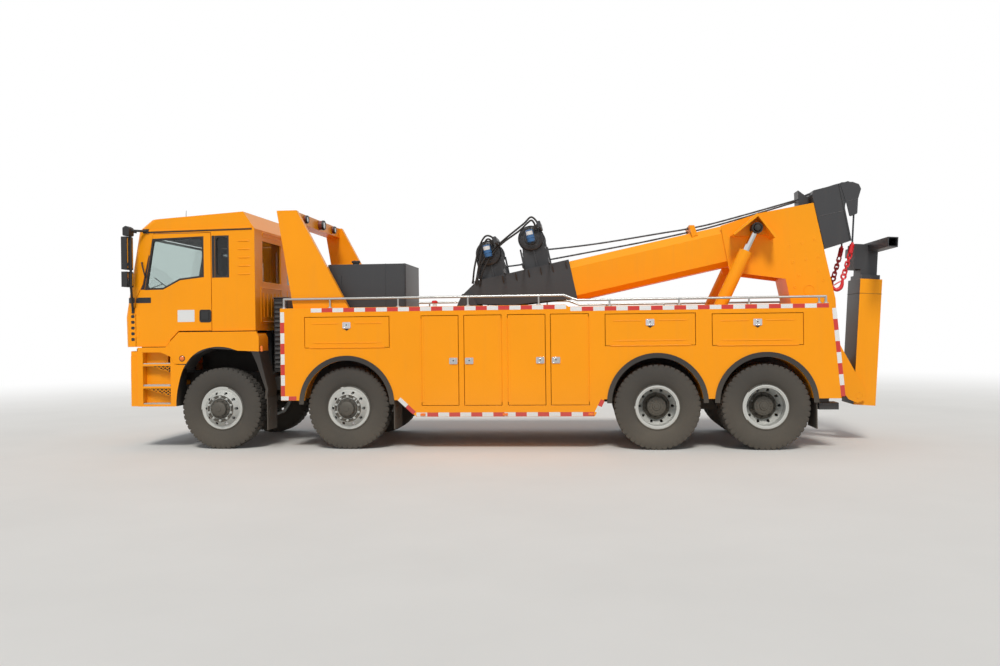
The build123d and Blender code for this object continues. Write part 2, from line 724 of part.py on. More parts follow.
def make_deck():
    # The deck between the cabinets, the gantry behind the cab and the lugs of the boom's hinge
    with BuildPart() as deck:
        gap = seat_clearance
        block((deck_step_x + 40, body_front_x), (-cabinet_inner_y + gap, cabinet_inner_y - gap),
              (deck_front_z - deck_thickness, deck_front_z))
        block((body_rear_x, deck_step_x + 40), (-cabinet_inner_y + gap, cabinet_inner_y - gap),
              (deck_rear_z - deck_thickness, deck_rear_z))
        block((body_rear_x - 5, deck_slot_x), (-deck_slot_y, deck_slot_y), (1700, 2000), Mode.SUBTRACT)
        for side in (-1, 1):
            hole = sorted((side * (lift_y - 110), side * (lift_y + 110)))
            block(lift_slot_x, hole, (1700, 2000), Mode.SUBTRACT)
            leg = sorted((side * gantry_leg_y[0], side * gantry_leg_y[1]))
            side_plate([
                (3031, gantry_top_z), (2752, gantry_top_z), (2038, deck_front_z + gap),
                (2812, deck_front_z + gap),
            ], leg)
            lug = sorted((side * boom_lug_y[0], side * boom_lug_y[1]))
            side_plate([
                (boom_pivot_x - 160, deck_front_z - 5), (boom_pivot_x + 160, deck_front_z - 5),
                (boom_pivot_x + 70, boom_pivot_z + 70), (boom_pivot_x - 70, boom_pivot_z + 70),
            ], lug)
            for x in deck_beams:
                wall_y = sorted((side * 420, side * 460))
                block((x - 40, x + 40), wall_y, (sill_z + 60, deck_z_at(x) - 5))
        block(gantry_beam_x, (-gantry_leg_y[0] - 5, gantry_leg_y[0] + 5), (gantry_top_z - 150, gantry_top_z))
        rod((boom_pivot_x, -boom_lug_y[1], boom_pivot_z), (boom_pivot_x, boom_lug_y[1], boom_pivot_z),
            boom_pivot_radius)
    return deck


rail_y = 1215
rail_radius = 16
rail_front_z = 2060
rail_rear_z = 1992
rail_posts = (2285, 1341, 388, -564, -1503, -2410, -3308, -4197)


def make_deck_rails():
    with BuildPart() as rails:
        for side in (-1, 1):
            y = side * rail_y
            path = [
                (2932, y, deck_front_z), (2932, y, rail_front_z), (-899, y, rail_front_z),
                (-1077, y, rail_rear_z), (-4280, y, rail_rear_z), (-4280, y, deck_rear_z),
            ]
            for start, end in zip(path, path[1:]):
                rod(start, end, rail_radius)
            for corner in path[1:-1]:
                with Locations(corner):
                    Sphere(rail_radius)
            for x in rail_posts:
                high = rail_front_z if x > -899 else rail_rear_z
                rod((x, y, deck_z_at(x)), (x, y, high), rail_radius - 4)
    return rails


fender_outer_y = 1235
fender_inner_y = 870


def make_fenders():
    # Mudguards of the first axle, the trims of the other arches and the mud flaps
    with BuildPart() as fenders:
        for side in (-1, 1):
            across = sorted((side * fender_inner_y, side * fender_outer_y))
            side_plate([
                (3290, 1336), (3290, 1536), (3320, 1600), (4330, 1600), (4430, 1470), (4470, 1380),
                (4400, 1120), (4353, 1140), (4250, 1290), (4000, 1400), (3571, 1370),
            ], across)
            side_plate([
                (3400, 1358), (3292, 1358), (3165, 830), (3180, 700), (3210, 700), (3200, 830),
                (3320, 1180),
            ], across)
            block((3170, 3184), across, (270, 720))
            for x in axle_x[1:]:
                y = sorted((side * (body_half_width + seat_clearance), side * (body_half_width + arch_trim_depth)))
                with BuildSketch(Plane.XZ.offset(-y[1])):
                    with Locations((x, arch_centre_z)):
                        Circle(arch_radius + arch_trim)
                    with Locations((x, arch_centre_z - 500)):
                        Rectangle(2 * (arch_radius + arch_trim), 1000, mode=Mode.SUBTRACT)
                    with Locations((x, arch_centre_z)):
                        Circle(arch_radius, mode=Mode.SUBTRACT)
                extrude(amount=y[1] - y[0])
            for x in (axle_x[1] - arch_radius - 60, axle_x[3] - arch_radius - 40):
                flap = sorted((side * 760, side * 1235))
                block((x - 7, x + 7), flap, (280, side_bottom_z))
            bracket = sorted((side * (rail_outer_y + seat_clearance), side * (fender_inner_y + 5)))
            block((3212, 3252), bracket, (980, 1038))
    return fenders


def make_oil_tank():
    with BuildPart() as tank:
        block((1276, 2373), (10, 1000), (deck_front_z, 2540))
        fillet(tank.edges().filter_by(Axis.Z), 25)
        rod((2050, 700, 2540), (2050, 700, 2575), 45)
    return tank


def make_cabinet_door(middle, width, low, high, hinge):
    # A door or hatch of the left cabinet with its hinge, whose axis lies over the gap
    outer = body_half_width
    rear = middle - width / 2
    front = middle + width / 2
    radius = hypot(door_gap / 2, hinge_proud) - seat_clearance
    leaf_y = (outer - 0.5, outer + 3)
    axis_y = outer + hinge_proud
    with BuildPart() as door:
        block((rear, front), (outer - door_thickness, outer), (low, high))
        if hinge == "bottom":
            axis_z = low - door_gap / 2
            rod((rear + 60, axis_y, axis_z), (front - 60, axis_y, axis_z), radius)
            block((rear + 60, front - 60), leaf_y, (axis_z, low + 28))
        else:
            axis_x = front + door_gap / 2 if hinge == "front" else rear - door_gap / 2
            leaf = sorted((axis_x, front - 28 if hinge == "front" else rear + 28))
            rod((axis_x, axis_y, low + 40), (axis_x, axis_y, high - 40), radius)
            block(leaf, leaf_y, (low + 40, high - 40))
    return door


def latch_on(door, x, z):
    outer = body_half_width
    with BuildPart() as finished:
        add(door.part)
        block((x - 55, x + 55), (outer - 1, outer + latch_proud), (z - 42, z + 42))
    return finished


# Boom and its inner section
def boom_section(u, inset, mode=Mode.ADD):
    half = boom_half_width - inset
    low = boom_bottom + inset
    high = boom_top - inset
    points = [
        (-half + boom_chamfer_y, low), (half - boom_chamfer_y, low), (half, boom_side_low),
        (half, boom_side_high), (half - boom_chamfer_y, high), (-half + boom_chamfer_y, high),
        (-half, boom_side_high), (-half, boom_side_low),
    ]
    start = boom_point(u[0], 0)
    along = (-cos(slope), 0, sin(slope))
    with BuildSketch(Plane(origin=start, x_dir=(0, -1, 0), z_dir=along)) as section:
        Polygon(*points, align=None)
    extrude(section.sketch, amount=u[1] - u[0], mode=mode)


def make_boom():
    cavity = boom_wall
    with BuildPart() as boom:
        boom_section((boom_front_u, boom_mouth_u), 0)
        head = [
            (3712, boom_top), (4285, 252), (boom_mouth_u, 222), (boom_mouth_u, -1147), (4899, -1789),
            (4890, -1950), (4413, -1500), (4413, -723), (3901, -534), (3691, -441),
        ]
        for side in (-1, 1):
            y = sorted((side * (boom_half_width - 1), side * (boom_half_width + boom_plate)))
            boom_plate_between(head, y)
            boom_plate_between([
                (4413, -1450), (boom_mouth_u - 100, -1700), (5130, -2480), (5080, -2600), (4980, -2610),
                (4880, -2540),
            ], y)
            hood = sorted((side * (boom_half_width + boom_plate), side * (lift_y - lift_eye_width / 2 - 6)))
            plates = (hood, sorted((side * (lift_y + lift_eye_width / 2 + 6), side * (lift_y + lift_eye_width / 2 + 26))))
            for plate in plates:
                boom_plate_between([(3801, 26), (4178, 236), (4371, -136), (4250, -60), (4120, -40), (3990, -20)], plate)
            whole = sorted((side * (boom_half_width + boom_plate - 1), side * (lift_y + lift_eye_width / 2 + 26)))
            boom_plate_between([(3801, 26), (4178, 236), (4371, -136), (4330, -150), (4180, 190), (3815, 10)], whole)
            pin = (boom_point(lift_pin_u, lift_pin_w, whole[0]), boom_point(lift_pin_u, lift_pin_w, whole[1]))
            rod(pin[0], pin[1], lift_top_pin_radius)
        boom_plate_between([
            (4413, -360), (boom_mouth_u, -360), (boom_mouth_u, -1147), (4899, -1789), (4880, -1900),
            (4413, -1450),
        ], (-boom_half_width, boom_half_width))
        boom_plate_between([(4850, 190), (boom_mouth_u, 190), (boom_mouth_u, 330), (4900, 460)], (-130, 130))
        boom_section((boom_front_u + 30, boom_mouth_u - boom_pad_length), cavity, Mode.SUBTRACT)
        boom_section((boom_mouth_u - boom_pad_length - 1, boom_mouth_u + 40),
                     cavity + boom_slide_gap - boom_pad_clearance, Mode.SUBTRACT)
        for side in (-1, 1):
            y = sorted((side * (boom_half_width - 30), side * (boom_half_width + boom_plate + 5)))
            point = (mast_pivot_x, y[0], mast_pivot_z)
            rod(point, (mast_pivot_x, y[1], mast_pivot_z), mast_pin_radius + bearing_clearance, Mode.SUBTRACT)
    return boom


winch_base_y = 330
winches_at = ((436, 575), (1080, 645))      # u and w of each drum's middle


def make_winches():
    # The black base ahead of the boom, hinged at its front, with two winches in line on it
    with BuildPart() as winches:
        for side in (-1, 1):
            y = sorted((side * (boom_lug_y[0] - 35), side * (boom_lug_y[0] - 6)))
            boom_plate_between([
                (-60, -30), (20, -70), (600, -230), (boom_front_u - 1, boom_bottom + 40),
                (boom_front_u - 1, 210), (204, 228), (-60, 60),
            ], y)
            for u in (560, 840, 1080, 1300):
                rib = sorted((side * (boom_lug_y[0] - 120), side * (boom_lug_y[0] - 30)))
                boom_plate_between([(u, -180), (u + 20, -180), (u + 20, 200), (u, 200)], rib)
        boom_plate_between([(150, 190), (boom_front_u - 1, 190), (boom_front_u - 1, 226), (150, 226)],
                           (-boom_lug_y[0] + 6, boom_lug_y[0] - 6))
        boom_plate_between([(400, -170), (boom_front_u - 1, -330), (boom_front_u - 1, -300), (400, -140)],
                           (-boom_lug_y[0] + 7, boom_lug_y[0] - 7))
        boom_plate_between([(boom_front_u - 25, -330), (boom_front_u - 0.3, -330), (boom_front_u - 0.3, 205),
                            (boom_front_u - 25, 205)], (-boom_lug_y[0] + 6, boom_lug_y[0] - 6))
        for u, w in winches_at:
            for side in (-1, 1):
                y = sorted((side * 225, side * 250))
                boom_plate_between([
                    (u - 200, 225), (u + 200, 225), (u + 120, w + 120), (u - 120, w + 120),
                ], y)
                rod(boom_point(u, w, y[0]), boom_point(u, w, y[1]), 190)
            rod(boom_point(u, w, -230), boom_point(u, w, 230), 120)
            rod(boom_point(u, w, 245), boom_point(u, w, 330), 75)
            rod(boom_point(u, w, -310), boom_point(u, w, -245), 90)
        with BuildSketch(boom_side.offset(-boom_lug_y[0])):
            Circle(boom_pivot_radius + bearing_clearance)
        extrude(amount=2 * boom_lug_y[0], mode=Mode.SUBTRACT)
    return winches


sheave_y = 270
sheave_u = 5520
sheave_w = 330
sheave_radius = 105


def make_boom_inner():
    inset = boom_wall + boom_slide_gap
    with BuildPart() as inner:
        boom_section((boom_inner_tail_u, boom_mouth_u + 40), inset)
        boom_section((boom_inner_tail_u, boom_inner_tail_u + boom_pad_length), boom_wall + boom_pad_clearance)
        boom_section((boom_inner_tail_u - 1, boom_mouth_u - 40), inset + boom_inner_wall, Mode.SUBTRACT)
        boom_plate_between([
            (boom_mouth_u + 12, -435), (boom_head_u - 20, -405), (boom_head_u, 400), (boom_mouth_u + 45, 392),
            (boom_mouth_u + 12, 340),
        ], (-boom_half_width, boom_half_width))
        for side in (-1, 1):
            for cheek in (sheave_y - 48, sheave_y + 36):
                y = sorted((side * cheek, side * (cheek + 12)))
                boom_plate_between([
                    (boom_head_u - 30, 150), (sheave_u + 40, 230), (sheave_u + 75, 330),
                    (sheave_u + 20, 410), (boom_head_u - 30, 399),
                ], y)
            ends = sorted((side * (sheave_y - 30), side * (sheave_y + 30)))
            rod(boom_point(sheave_u, sheave_w - 30, ends[0]), boom_point(sheave_u, sheave_w - 30, ends[1]),
                sheave_radius)
            ends = sorted((side * (sheave_y - 48), side * (sheave_y + 48)))
            rod(boom_point(sheave_u, sheave_w - 30, ends[0]), boom_point(sheave_u, sheave_w - 30, ends[1]), 30)
    return inner


# Lift cylinders
lift_pin = boom_point(lift_pin_u, lift_pin_w)
lift_run = Vector(lift_pin[0] - lift_foot_x, 0, lift_pin[2] - lift_foot_z)
lift_way = lift_run.normalized()


def lift_place(distance, y):
    return (lift_foot_x + lift_way.X * distance, y, lift_foot_z + lift_way.Z * distance)


def lift_eye(distance, y, radius, mode=Mode.ADD):
    # An eye, or the hole through it, which runs past both faces
    middle = lift_place(distance, 0)
    half = lift_eye_width / 2 if mode == Mode.ADD else lift_eye_width / 2 + 5
    rod((middle[0], y - half, middle[2]), (middle[0], y + half, middle[2]), radius, mode)


def make_lift_barrels():
    with BuildPart() as barrels:
        for y in (-lift_y, lift_y):
            lift_eye(0, y, lift_eye_radius)
            rod(lift_place(60, y), lift_place(lift_barrel_length, y), lift_barrel_radius)
            rod(lift_place(120, y), lift_place(lift_barrel_length + 5, y),
                lift_rod_radius + bearing_clearance, Mode.SUBTRACT)
            lift_eye(0, y, lift_pin_radius + bearing_clearance, Mode.SUBTRACT)
    return barrels


def make_lift_rods():
    length = lift_run.length
    with BuildPart() as rods:
        for y in (-lift_y, lift_y):
            lift_eye(length, y, lift_top_eye_radius)
            rod(lift_place(length - lift_rod_length, y), lift_place(length - 60, y), lift_rod_radius)
            lift_eye(length, y, lift_top_eye_hole, Mode.SUBTRACT)
    return rods


# Underlift: the mast, folded up, and the head that slides out of it
head_front = mast_front - mast_wall - head_clearance
head_rear = mast_rear + mast_wall + head_clearance
head_half = mast_half_width - mast_wall - head_clearance
head_block_y = 175
crossbar_a = -134
crossbar_b = 2070


def make_mast():
    with BuildPart() as mast:
        mast_block((mast_rear, mast_front), (mast_bottom, mast_top), (-mast_half_width, mast_half_width))
        inner = mast_half_width - mast_wall
        mast_block((mast_rear + mast_wall, mast_front - mast_wall), (150, mast_top + 10), (-inner, inner),
                   Mode.SUBTRACT)
        with BuildSketch(mast_side.offset(-boom_half_width - boom_plate)):
            Circle(mast_pin_radius)
        extrude(amount=2 * (boom_half_width + boom_plate))
    return mast


def make_underlift_head():
    with BuildPart() as head:
        mast_block((head_rear, head_front), (170, mast_top + 60), (-head_half, head_half))
        pad = head_clearance - bearing_clearance
        mast_block((head_rear - pad, head_front + pad), (170, 290), (-head_half - pad, head_half + pad))
        mast_block((-200, 20), (mast_top, 1780), (-head_block_y, head_block_y))
        mast_block((-60, 120), (1760, 2110), (-head_block_y, head_block_y))
        half = crossbar_size / 2
        mast_block((crossbar_a - half, crossbar_a + half), (crossbar_b - half, crossbar_b + half),
                   (-crossbar_half_length, crossbar_half_length))
        mast_block((crossbar_a - half, 60), (1760, crossbar_b), (-head_block_y, head_block_y))
        inner = half - crossbar_wall
        for ends in ((-crossbar_half_length - 5, -head_block_y - 60), (head_block_y + 60, crossbar_half_length + 5)):
            mast_block((crossbar_a - inner, crossbar_a + inner), (crossbar_b - inner, crossbar_b + inner), ends,
                       Mode.SUBTRACT)
    return head


def make_stabiliser(side):
    y = side * foot_y
    half = leg_size / 2
    with BuildPart() as leg:
        block((leg_x - half, leg_x + half), (y - half, y + half), (foot_z + foot_thickness - 5, leg_top_z))
        block((foot_x - foot_length / 2, foot_x + foot_length / 2), (y - 120, y + 120),
              (foot_z, foot_z + foot_thickness))
    return leg


hook_w = -1000


def make_hooks():
    # Ferrule, chain and hook under each sheave, the hook seated on a lug of the column
    with BuildPart() as hooks:
        for y in (-sheave_y, sheave_y):
            rod((-4880, y, 2735), (-4850, y, 2600), 30)
            rod((-4850, y, 2600), (-4760, y, 2300), 24)
            rod((-4760, y, 2300), boom_point(boom_mouth_u + 70, hook_w, y), 22)
            seat = boom_point(boom_mouth_u + seat_clearance, hook_w, y)
            rod(boom_point(boom_mouth_u + 75, hook_w, y), seat, 22)
    return hooks


def main():
    os.makedirs("parts", exist_ok=True)
    for axle in range(4):
        for side, letter in ((1, "l"), (-1, "r")):
            save(make_tyres(axle, side), f"tyre_{axle + 1}{letter}")
            save(make_rims(axle, side), f"rim_{axle + 1}{letter}")
            if axle < 2:
                save(make_knuckle(axle, side), f"knuckle_{axle + 1}{letter}")
    save(make_axles_and_engine(), "axles_and_engine")
    save(make_frame(), "frame")
    save(make_cab_shell(), "cab_shell")
    save(make_cab_glass(), "cab_glass")
    save(make_cab_interior(), "cab_interior")
    save(make_cab_door(1), "cab_door_l")
    save(make_cab_door(-1), "cab_door_r")
    save(make_bumper(), "bumper")
    save(make_lamps(), "lamps")
    save(make_mirrors(), "mirrors")
    cabinet = make_cabinet()
    save(cabinet, "cabinet_l")
    with BuildPart() as opposite:
        mirror(cabinet.part, about=Plane.XZ)
    save(opposite, "cabinet_r")
    save(make_deck(), "deck_and_gantry")
    save(make_deck_rails(), "deck_rails")
    save(make_fenders(), "fenders")
    save(make_oil_tank(), "oil_tank")
    for name, middle, width, low, high, hinge in cabinet_doors:
        latch_x = {"front": middle - width / 2 + 65, "rear": middle + width / 2 - 65, "bottom": middle}[hinge]
        latch_z = 1198 if hinge != "bottom" else high - 110
        door = latch_on(make_cabinet_door(middle, width, low, high, hinge), latch_x, latch_z)
        save(door, f"{name}_l")
        with BuildPart() as opposite:
            mirror(door.part, about=Plane.XZ)
        save(opposite, f"{name}_r")
    save(make_boom(), "boom")
    save(make_winches(), "winches")
    save(make_boom_inner(), "boom_inner")
    save(make_lift_barrels(), "lift_barrels")
    save(make_lift_rods(), "lift_rods")
    save(make_mast(), "underlift_mast")
    save(make_underlift_head(), "underlift_head")
    save(make_stabiliser(1), "stabiliser_l")
    save(make_stabiliser(-1), "stabiliser_r")
    save(make_hooks(), "hooks")


main()
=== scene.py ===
import json
import math

import bmesh
import bpy
import numpy as np
from mathutils import Matrix, Vector


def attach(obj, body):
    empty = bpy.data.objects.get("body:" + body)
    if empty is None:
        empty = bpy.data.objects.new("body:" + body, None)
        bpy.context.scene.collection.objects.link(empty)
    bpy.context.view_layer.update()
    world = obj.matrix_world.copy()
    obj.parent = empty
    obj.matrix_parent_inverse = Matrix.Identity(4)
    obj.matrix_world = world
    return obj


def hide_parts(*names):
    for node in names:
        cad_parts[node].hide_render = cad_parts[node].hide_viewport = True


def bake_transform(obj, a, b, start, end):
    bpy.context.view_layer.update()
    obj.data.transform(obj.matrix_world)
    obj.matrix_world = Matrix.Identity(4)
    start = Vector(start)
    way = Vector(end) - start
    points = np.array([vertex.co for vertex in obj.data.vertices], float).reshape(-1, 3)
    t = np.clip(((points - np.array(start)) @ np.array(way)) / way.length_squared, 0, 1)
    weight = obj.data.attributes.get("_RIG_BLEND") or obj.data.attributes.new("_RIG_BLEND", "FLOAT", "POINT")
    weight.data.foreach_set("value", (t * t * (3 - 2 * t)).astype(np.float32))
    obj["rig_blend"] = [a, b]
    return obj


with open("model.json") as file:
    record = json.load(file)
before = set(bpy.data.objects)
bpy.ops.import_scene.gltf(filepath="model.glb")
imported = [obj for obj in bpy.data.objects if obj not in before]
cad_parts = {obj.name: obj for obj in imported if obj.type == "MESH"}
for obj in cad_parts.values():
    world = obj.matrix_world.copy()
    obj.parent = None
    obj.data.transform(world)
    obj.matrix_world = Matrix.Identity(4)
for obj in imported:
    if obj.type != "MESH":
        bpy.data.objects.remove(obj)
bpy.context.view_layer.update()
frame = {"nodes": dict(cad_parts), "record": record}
nodes = frame["nodes"]
bodyOf = {node: body for body, members in frame["record"]["behaviour"]["bodies"].items() for node in members}
sides = ((1, "l"), (-1, "r"))
print("frame loaded:", len(nodes), "nodes")

# The viewpoint of the photograph, with angles in radians and the focal length in pixels
viewpoint = {"at": (-1.249, 13.294, 1.610), "yaw": 0.0996, "pitch": -0.0036, "roll": -0.012, "focal": 906.26,
             "imageWidth": 1000}


def setCamera(place):
    # The camera looks along -Y; it is turned about Z, then tipped, then rolled about its own line of sight
    yaw, pitch, roll = place["yaw"], place["pitch"], place["roll"]
    ahead = np.array([math.sin(yaw), -math.cos(yaw), 0])
    right = np.array([-math.cos(yaw), -math.sin(yaw), 0])
    up = np.array([0, 0, 1])
    sight = ahead * math.cos(pitch) + up * math.sin(pitch)
    crown = up * math.cos(pitch) - ahead * math.sin(pitch)
    across = right * math.cos(roll) + crown * math.sin(roll)
    crown = crown * math.cos(roll) - right * math.sin(roll)
    lens = bpy.data.cameras.new("photoCamera")
    lens.sensor_width = 36
    lens.lens = place["focal"] / place["imageWidth"] * 36
    camera = bpy.data.objects.new("photoCamera", lens)
    bpy.context.scene.collection.objects.link(camera)
    turn = Matrix((across.tolist(), crown.tolist(), (-sight).tolist())).transposed().to_4x4()
    camera.matrix_world = Matrix.Translation(place["at"]) @ turn
    bpy.context.scene.camera = camera


setCamera(viewpoint)


# Shapes: each is a pair of an array of points and a list of faces
def gridFaces(rows, columns, wrapRows=False, wrapColumns=False):
    i, j = np.meshgrid(np.arange(rows if wrapRows else rows - 1),
                       np.arange(columns if wrapColumns else columns - 1), indexing="ij")
    i, j = i.ravel(), j.ravel()
    nextI, nextJ = (i + 1) % rows, (j + 1) % columns
    quads = np.stack([i * columns + j, nextI * columns + j, nextI * columns + nextJ, i * columns + nextJ], axis=1)
    return quads.tolist()


def merged(shapes):
    points, faces, start = [], [], 0
    for shape in shapes:
        points.append(shape[0])
        faces += [[k + start for k in face] for face in shape[1]]
        start += len(shape[0])
    return np.vstack(points), faces


def unit(vector):
    vector = np.asarray(vector, float)
    return vector / np.linalg.norm(vector)


def crossAxes(axis):
    # Two directions at right angles to the axis and to each other
    axis = unit(axis)
    side = np.cross(axis, (0, 0, 1) if abs(axis[2]) < 0.9 else (1, 0, 0))
    side = unit(side)
    return side, np.cross(axis, side)


def lathe(profile, centre, axis=(0, 1, 0), turns=64, closed=False):
    # A profile of distances along the axis and radii, turned once about it
    profile = np.asarray(profile, float)
    side, other = crossAxes(axis)
    angle = np.linspace(0, 2 * np.pi, turns, endpoint=False)
    ring = np.cos(angle)[:, None] * side + np.sin(angle)[:, None] * other
    points = (np.asarray(centre, float) + profile[:, None, :1] * unit(axis)
              + profile[:, None, 1:] * ring[None, :, :])
    return points.reshape(-1, 3), gridFaces(len(profile), turns, closed, True)


def carried(path, radius, around=10, lobes=0, depth=0.0, pitch=0.2, closed=False):
    # A circle carried along a path without twist; with lobes, its radius waves round it like the strands of a rope,
    # and the wave turns once in each pitch of the path's length
    path = np.asarray(path, float)
    if closed:
        run = np.roll(path, -1, axis=0) - np.roll(path, 1, axis=0)
    else:
        run = np.gradient(path, axis=0)
    run /= np.linalg.norm(run, axis=1)[:, None]
    frames = [crossAxes(run[0])[0]]
    for along in run[1:]:
        side = frames[-1] - along * np.dot(frames[-1], along)
        frames.append(side / np.linalg.norm(side))
    side = np.array(frames)
    other = np.cross(run, side)
    step = np.linalg.norm(np.diff(path, axis=0), axis=1)
    length = np.concatenate([[0], np.cumsum(step)])
    angle = np.linspace(0, 2 * np.pi, around, endpoint=False)
    radius = np.broadcast_to(radius, len(path))[:, None]
    if lobes:
        turned = angle[None, :] + 2 * np.pi * length[:, None] / pitch
        angle = np.broadcast_to(angle, (len(path), around))
        radius = radius * (1 + depth * np.cos(lobes * turned))
    else:
        angle = np.broadcast_to(angle, (len(path), around))
        radius = np.broadcast_to(radius, (len(path), around))
    points = (path[:, None, :] + radius[..., None]
              * (np.cos(angle)[..., None] * side[:, None, :] + np.sin(angle)[..., None] * other[:, None, :]))
    faces = gridFaces(len(path), around, closed, True)
    if not closed:
        faces += [list(range(around)), list(range((len(path) - 1) * around, len(path) * around))]
    return points.reshape(-1, 3), faces


def smoothPath(points, steps=8):
    # A curve through the points, each run a cubic that leaves and arrives along its neighbours' chord
    points = np.asarray(points, float)
    padded = np.vstack([2 * points[0] - points[1], points, 2 * points[-1] - points[-2]])
    t = np.linspace(0, 1, steps, endpoint=False)[:, None]
    runs = []
    for a, b, c, d in zip(padded, padded[1:], padded[2:], padded[3:]):
        runs.append(0.5 * (2 * b + (c - a) * t + (2 * a - 5 * b + 4 * c - d) * t ** 2
                           + (3 * b - a - 3 * c + d) * t ** 3))
    return np.vstack(runs + [points[-1:]])


def prism(outline, origin, xAxis, yAxis, depth):
    # A flat outline in a plane, carried at right angles to it by the depth
    outline = np.asarray(outline, float)
    xAxis, yAxis = unit(xAxis), unit(yAxis)
    normal = np.cross(xAxis, yAxis)
    flat = np.asarray(origin, float) + outline[:, :1] * xAxis + outline[:, 1:] * yAxis
    count = len(flat)
    faces = gridFaces(2, count, False, True)
    faces += [list(range(count)), list(range(count, 2 * count))]
    return np.vstack([flat, flat + normal * depth]), faces


def ringPrism(outer, inner, origin, xAxis, yAxis, depth):
    # The flat ring between two outlines with as many points, carried by the depth
    xAxis, yAxis = unit(xAxis), unit(yAxis)
    normal = np.cross(xAxis, yAxis)
    loops = []
    for outline, shift in ((outer, 0), (outer, depth), (inner, depth), (inner, 0)):
        outline = np.asarray(outline, float)
        loops.append(np.asarray(origin, float) + outline[:, :1] * xAxis + outline[:, 1:] * yAxis + normal * shift)
    return np.vstack(loops), gridFaces(4, len(outer), True, True)


def rectangle(start, end, low, high):
    return [(start, low), (end, low), (end, high), (start, high)]


def sidePlate(outline, y, depth):
    # An outline in X and Z, carried from y along Y by the depth
    return prism(outline, (0, y, 0), (1, 0, 0), (0, 0, 1), -depth)


def sideRing(outer, inner, y, depth):
    return ringPrism(outer, inner, (0, y, 0), (1, 0, 0), (0, 0, 1), -depth)


def frontPlate(outline, x, depth):
    # An outline in Y and Z, carried from x along X by the depth
    return prism(outline, (x, 0, 0), (0, 1, 0), (0, 0, 1), depth)


def loopAt(outline, x, side=1):
    # An outline in Y and Z as a line in space, mirrored where the side is -1
    return np.stack([np.full(len(outline), x), side * outline[:, 0], outline[:, 1]], 1)


def roundedOutline(corners, radius, steps=5):
    # The outline with each corner replaced by an arc that touches its two sides
    corners = np.asarray(corners, float)
    points = []
    for before, corner, after in zip(np.roll(corners, 1, axis=0), corners, np.roll(corners, -1, axis=0)):
        back, ahead = unit(before - corner), unit(after - corner)
        half = math.acos(np.clip(np.dot(back, ahead), -1, 1)) / 2
        reach = min(radius / math.tan(half), 0.49 * np.linalg.norm(before - corner),
                    0.49 * np.linalg.norm(after - corner))
        start, end = corner + back * reach, corner + ahead * reach
        t = np.linspace(0, 1, steps)[:, None]
        pull = 2 * math.sin(half) * t * (1 - t)
        points.append(((1 - t) ** 2 * start + pull * corner + t ** 2 * end) / ((1 - t) ** 2 + pull + t ** 2))
    return np.vstack(points)


def insetOutline(corners, distance):
    # Each side is moved inwards by the distance, and the corners lie where the moved sides meet
    corners = np.asarray(corners, float)
    area = np.sum(corners[:, 0] * np.roll(corners[:, 1], -1) - np.roll(corners[:, 0], -1) * corners[:, 1])
    turn = 1 if area > 0 else -1
    run = np.roll(corners, -1, axis=0) - corners
    run /= np.linalg.norm(run, axis=1)[:, None]
    normal = np.stack([-run[:, 1], run[:, 0]], axis=1) * turn
    moved = []
    for k in range(len(corners)):
        a, b = run[k - 1], run[k]
        p = corners[k] + normal[k - 1] * distance
        q = corners[k] + normal[k] * distance
        cross = a[0] * b[1] - a[1] * b[0]
        t = ((q[0] - p[0]) * b[1] - (q[1] - p[1]) * b[0]) / cross
        moved.append(p + a * t)
    return np.array(moved)


def box(x, y, z):
    outline = rectangle(x[0], x[1], y[0], y[1])
    return prism(outline, (0, 0, z[0]), (1, 0, 0), (0, 1, 0), z[1] - z[0])


def nuts(centre, axis, circle, count, across, height, turn=0.0):
    # Hexagon nuts on a circle, each with the rounded end of its stud
    side, other = crossAxes(axis)
    axis = unit(axis)
    shapes = []
    for k in range(count):
        angle = 2 * math.pi * k / count + turn
        middle = np.asarray(centre) + circle * (math.cos(angle) * side + math.sin(angle) * other)
        half = across / 2 / math.cos(math.pi / 6)
        shapes.append(lathe([(0, 0), (0, half), (height * 0.85, half), (height, half * 0.82), (height, 0)],
                            middle, axis, 6))
        shapes.append(lathe([(height * 0.9, 0), (height * 0.9, half * 0.5), (height * 1.35, half * 0.46),
                             (height * 1.5, 0)], middle, axis, 10))
    return merged(shapes)


def turnOut(mesh, joined=0.0):
    # Points closer than the joined distance become one, and the faces turn outwards
    work = bmesh.new()
    work.from_mesh(mesh)
    if joined:
        bmesh.ops.remove_doubles(work, verts=work.verts, dist=joined)
    bmesh.ops.recalc_face_normals(work, faces=work.faces)
    work.to_mesh(mesh)
    work.free()


def newObject(name, data):
    item = bpy.data.objects.new(name, data)
    bpy.context.scene.collection.objects.link(item)
    return item


def makePiece(name, shapes, body, finish, bevel=0.0, angle=35, clean=True):
    # One mesh of all the shapes. A shape may bring the number of its finish as a third value. A piece with no body
    # is blended between two bodies afterwards
    points, faces = merged(shapes)
    mesh = bpy.data.meshes.new(name)
    mesh.from_pydata(points.tolist(), [], faces)
    finishes = finish if isinstance(finish, (list, tuple)) else [finish]
    for item in finishes:
        mesh.materials.append(item)
    if len(finishes) > 1:
        which = np.concatenate([np.full(len(shape[1]), shape[2] if len(shape) > 2 else 0) for shape in shapes])
        mesh.polygons.foreach_set("material_index", which.astype(np.int32))
    if clean:
        turnOut(mesh, 2e-6)
    piece = newObject(name, mesh)
    finishEdges(piece, bevel, angle)
    if body:
        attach(piece, body)
    return piece


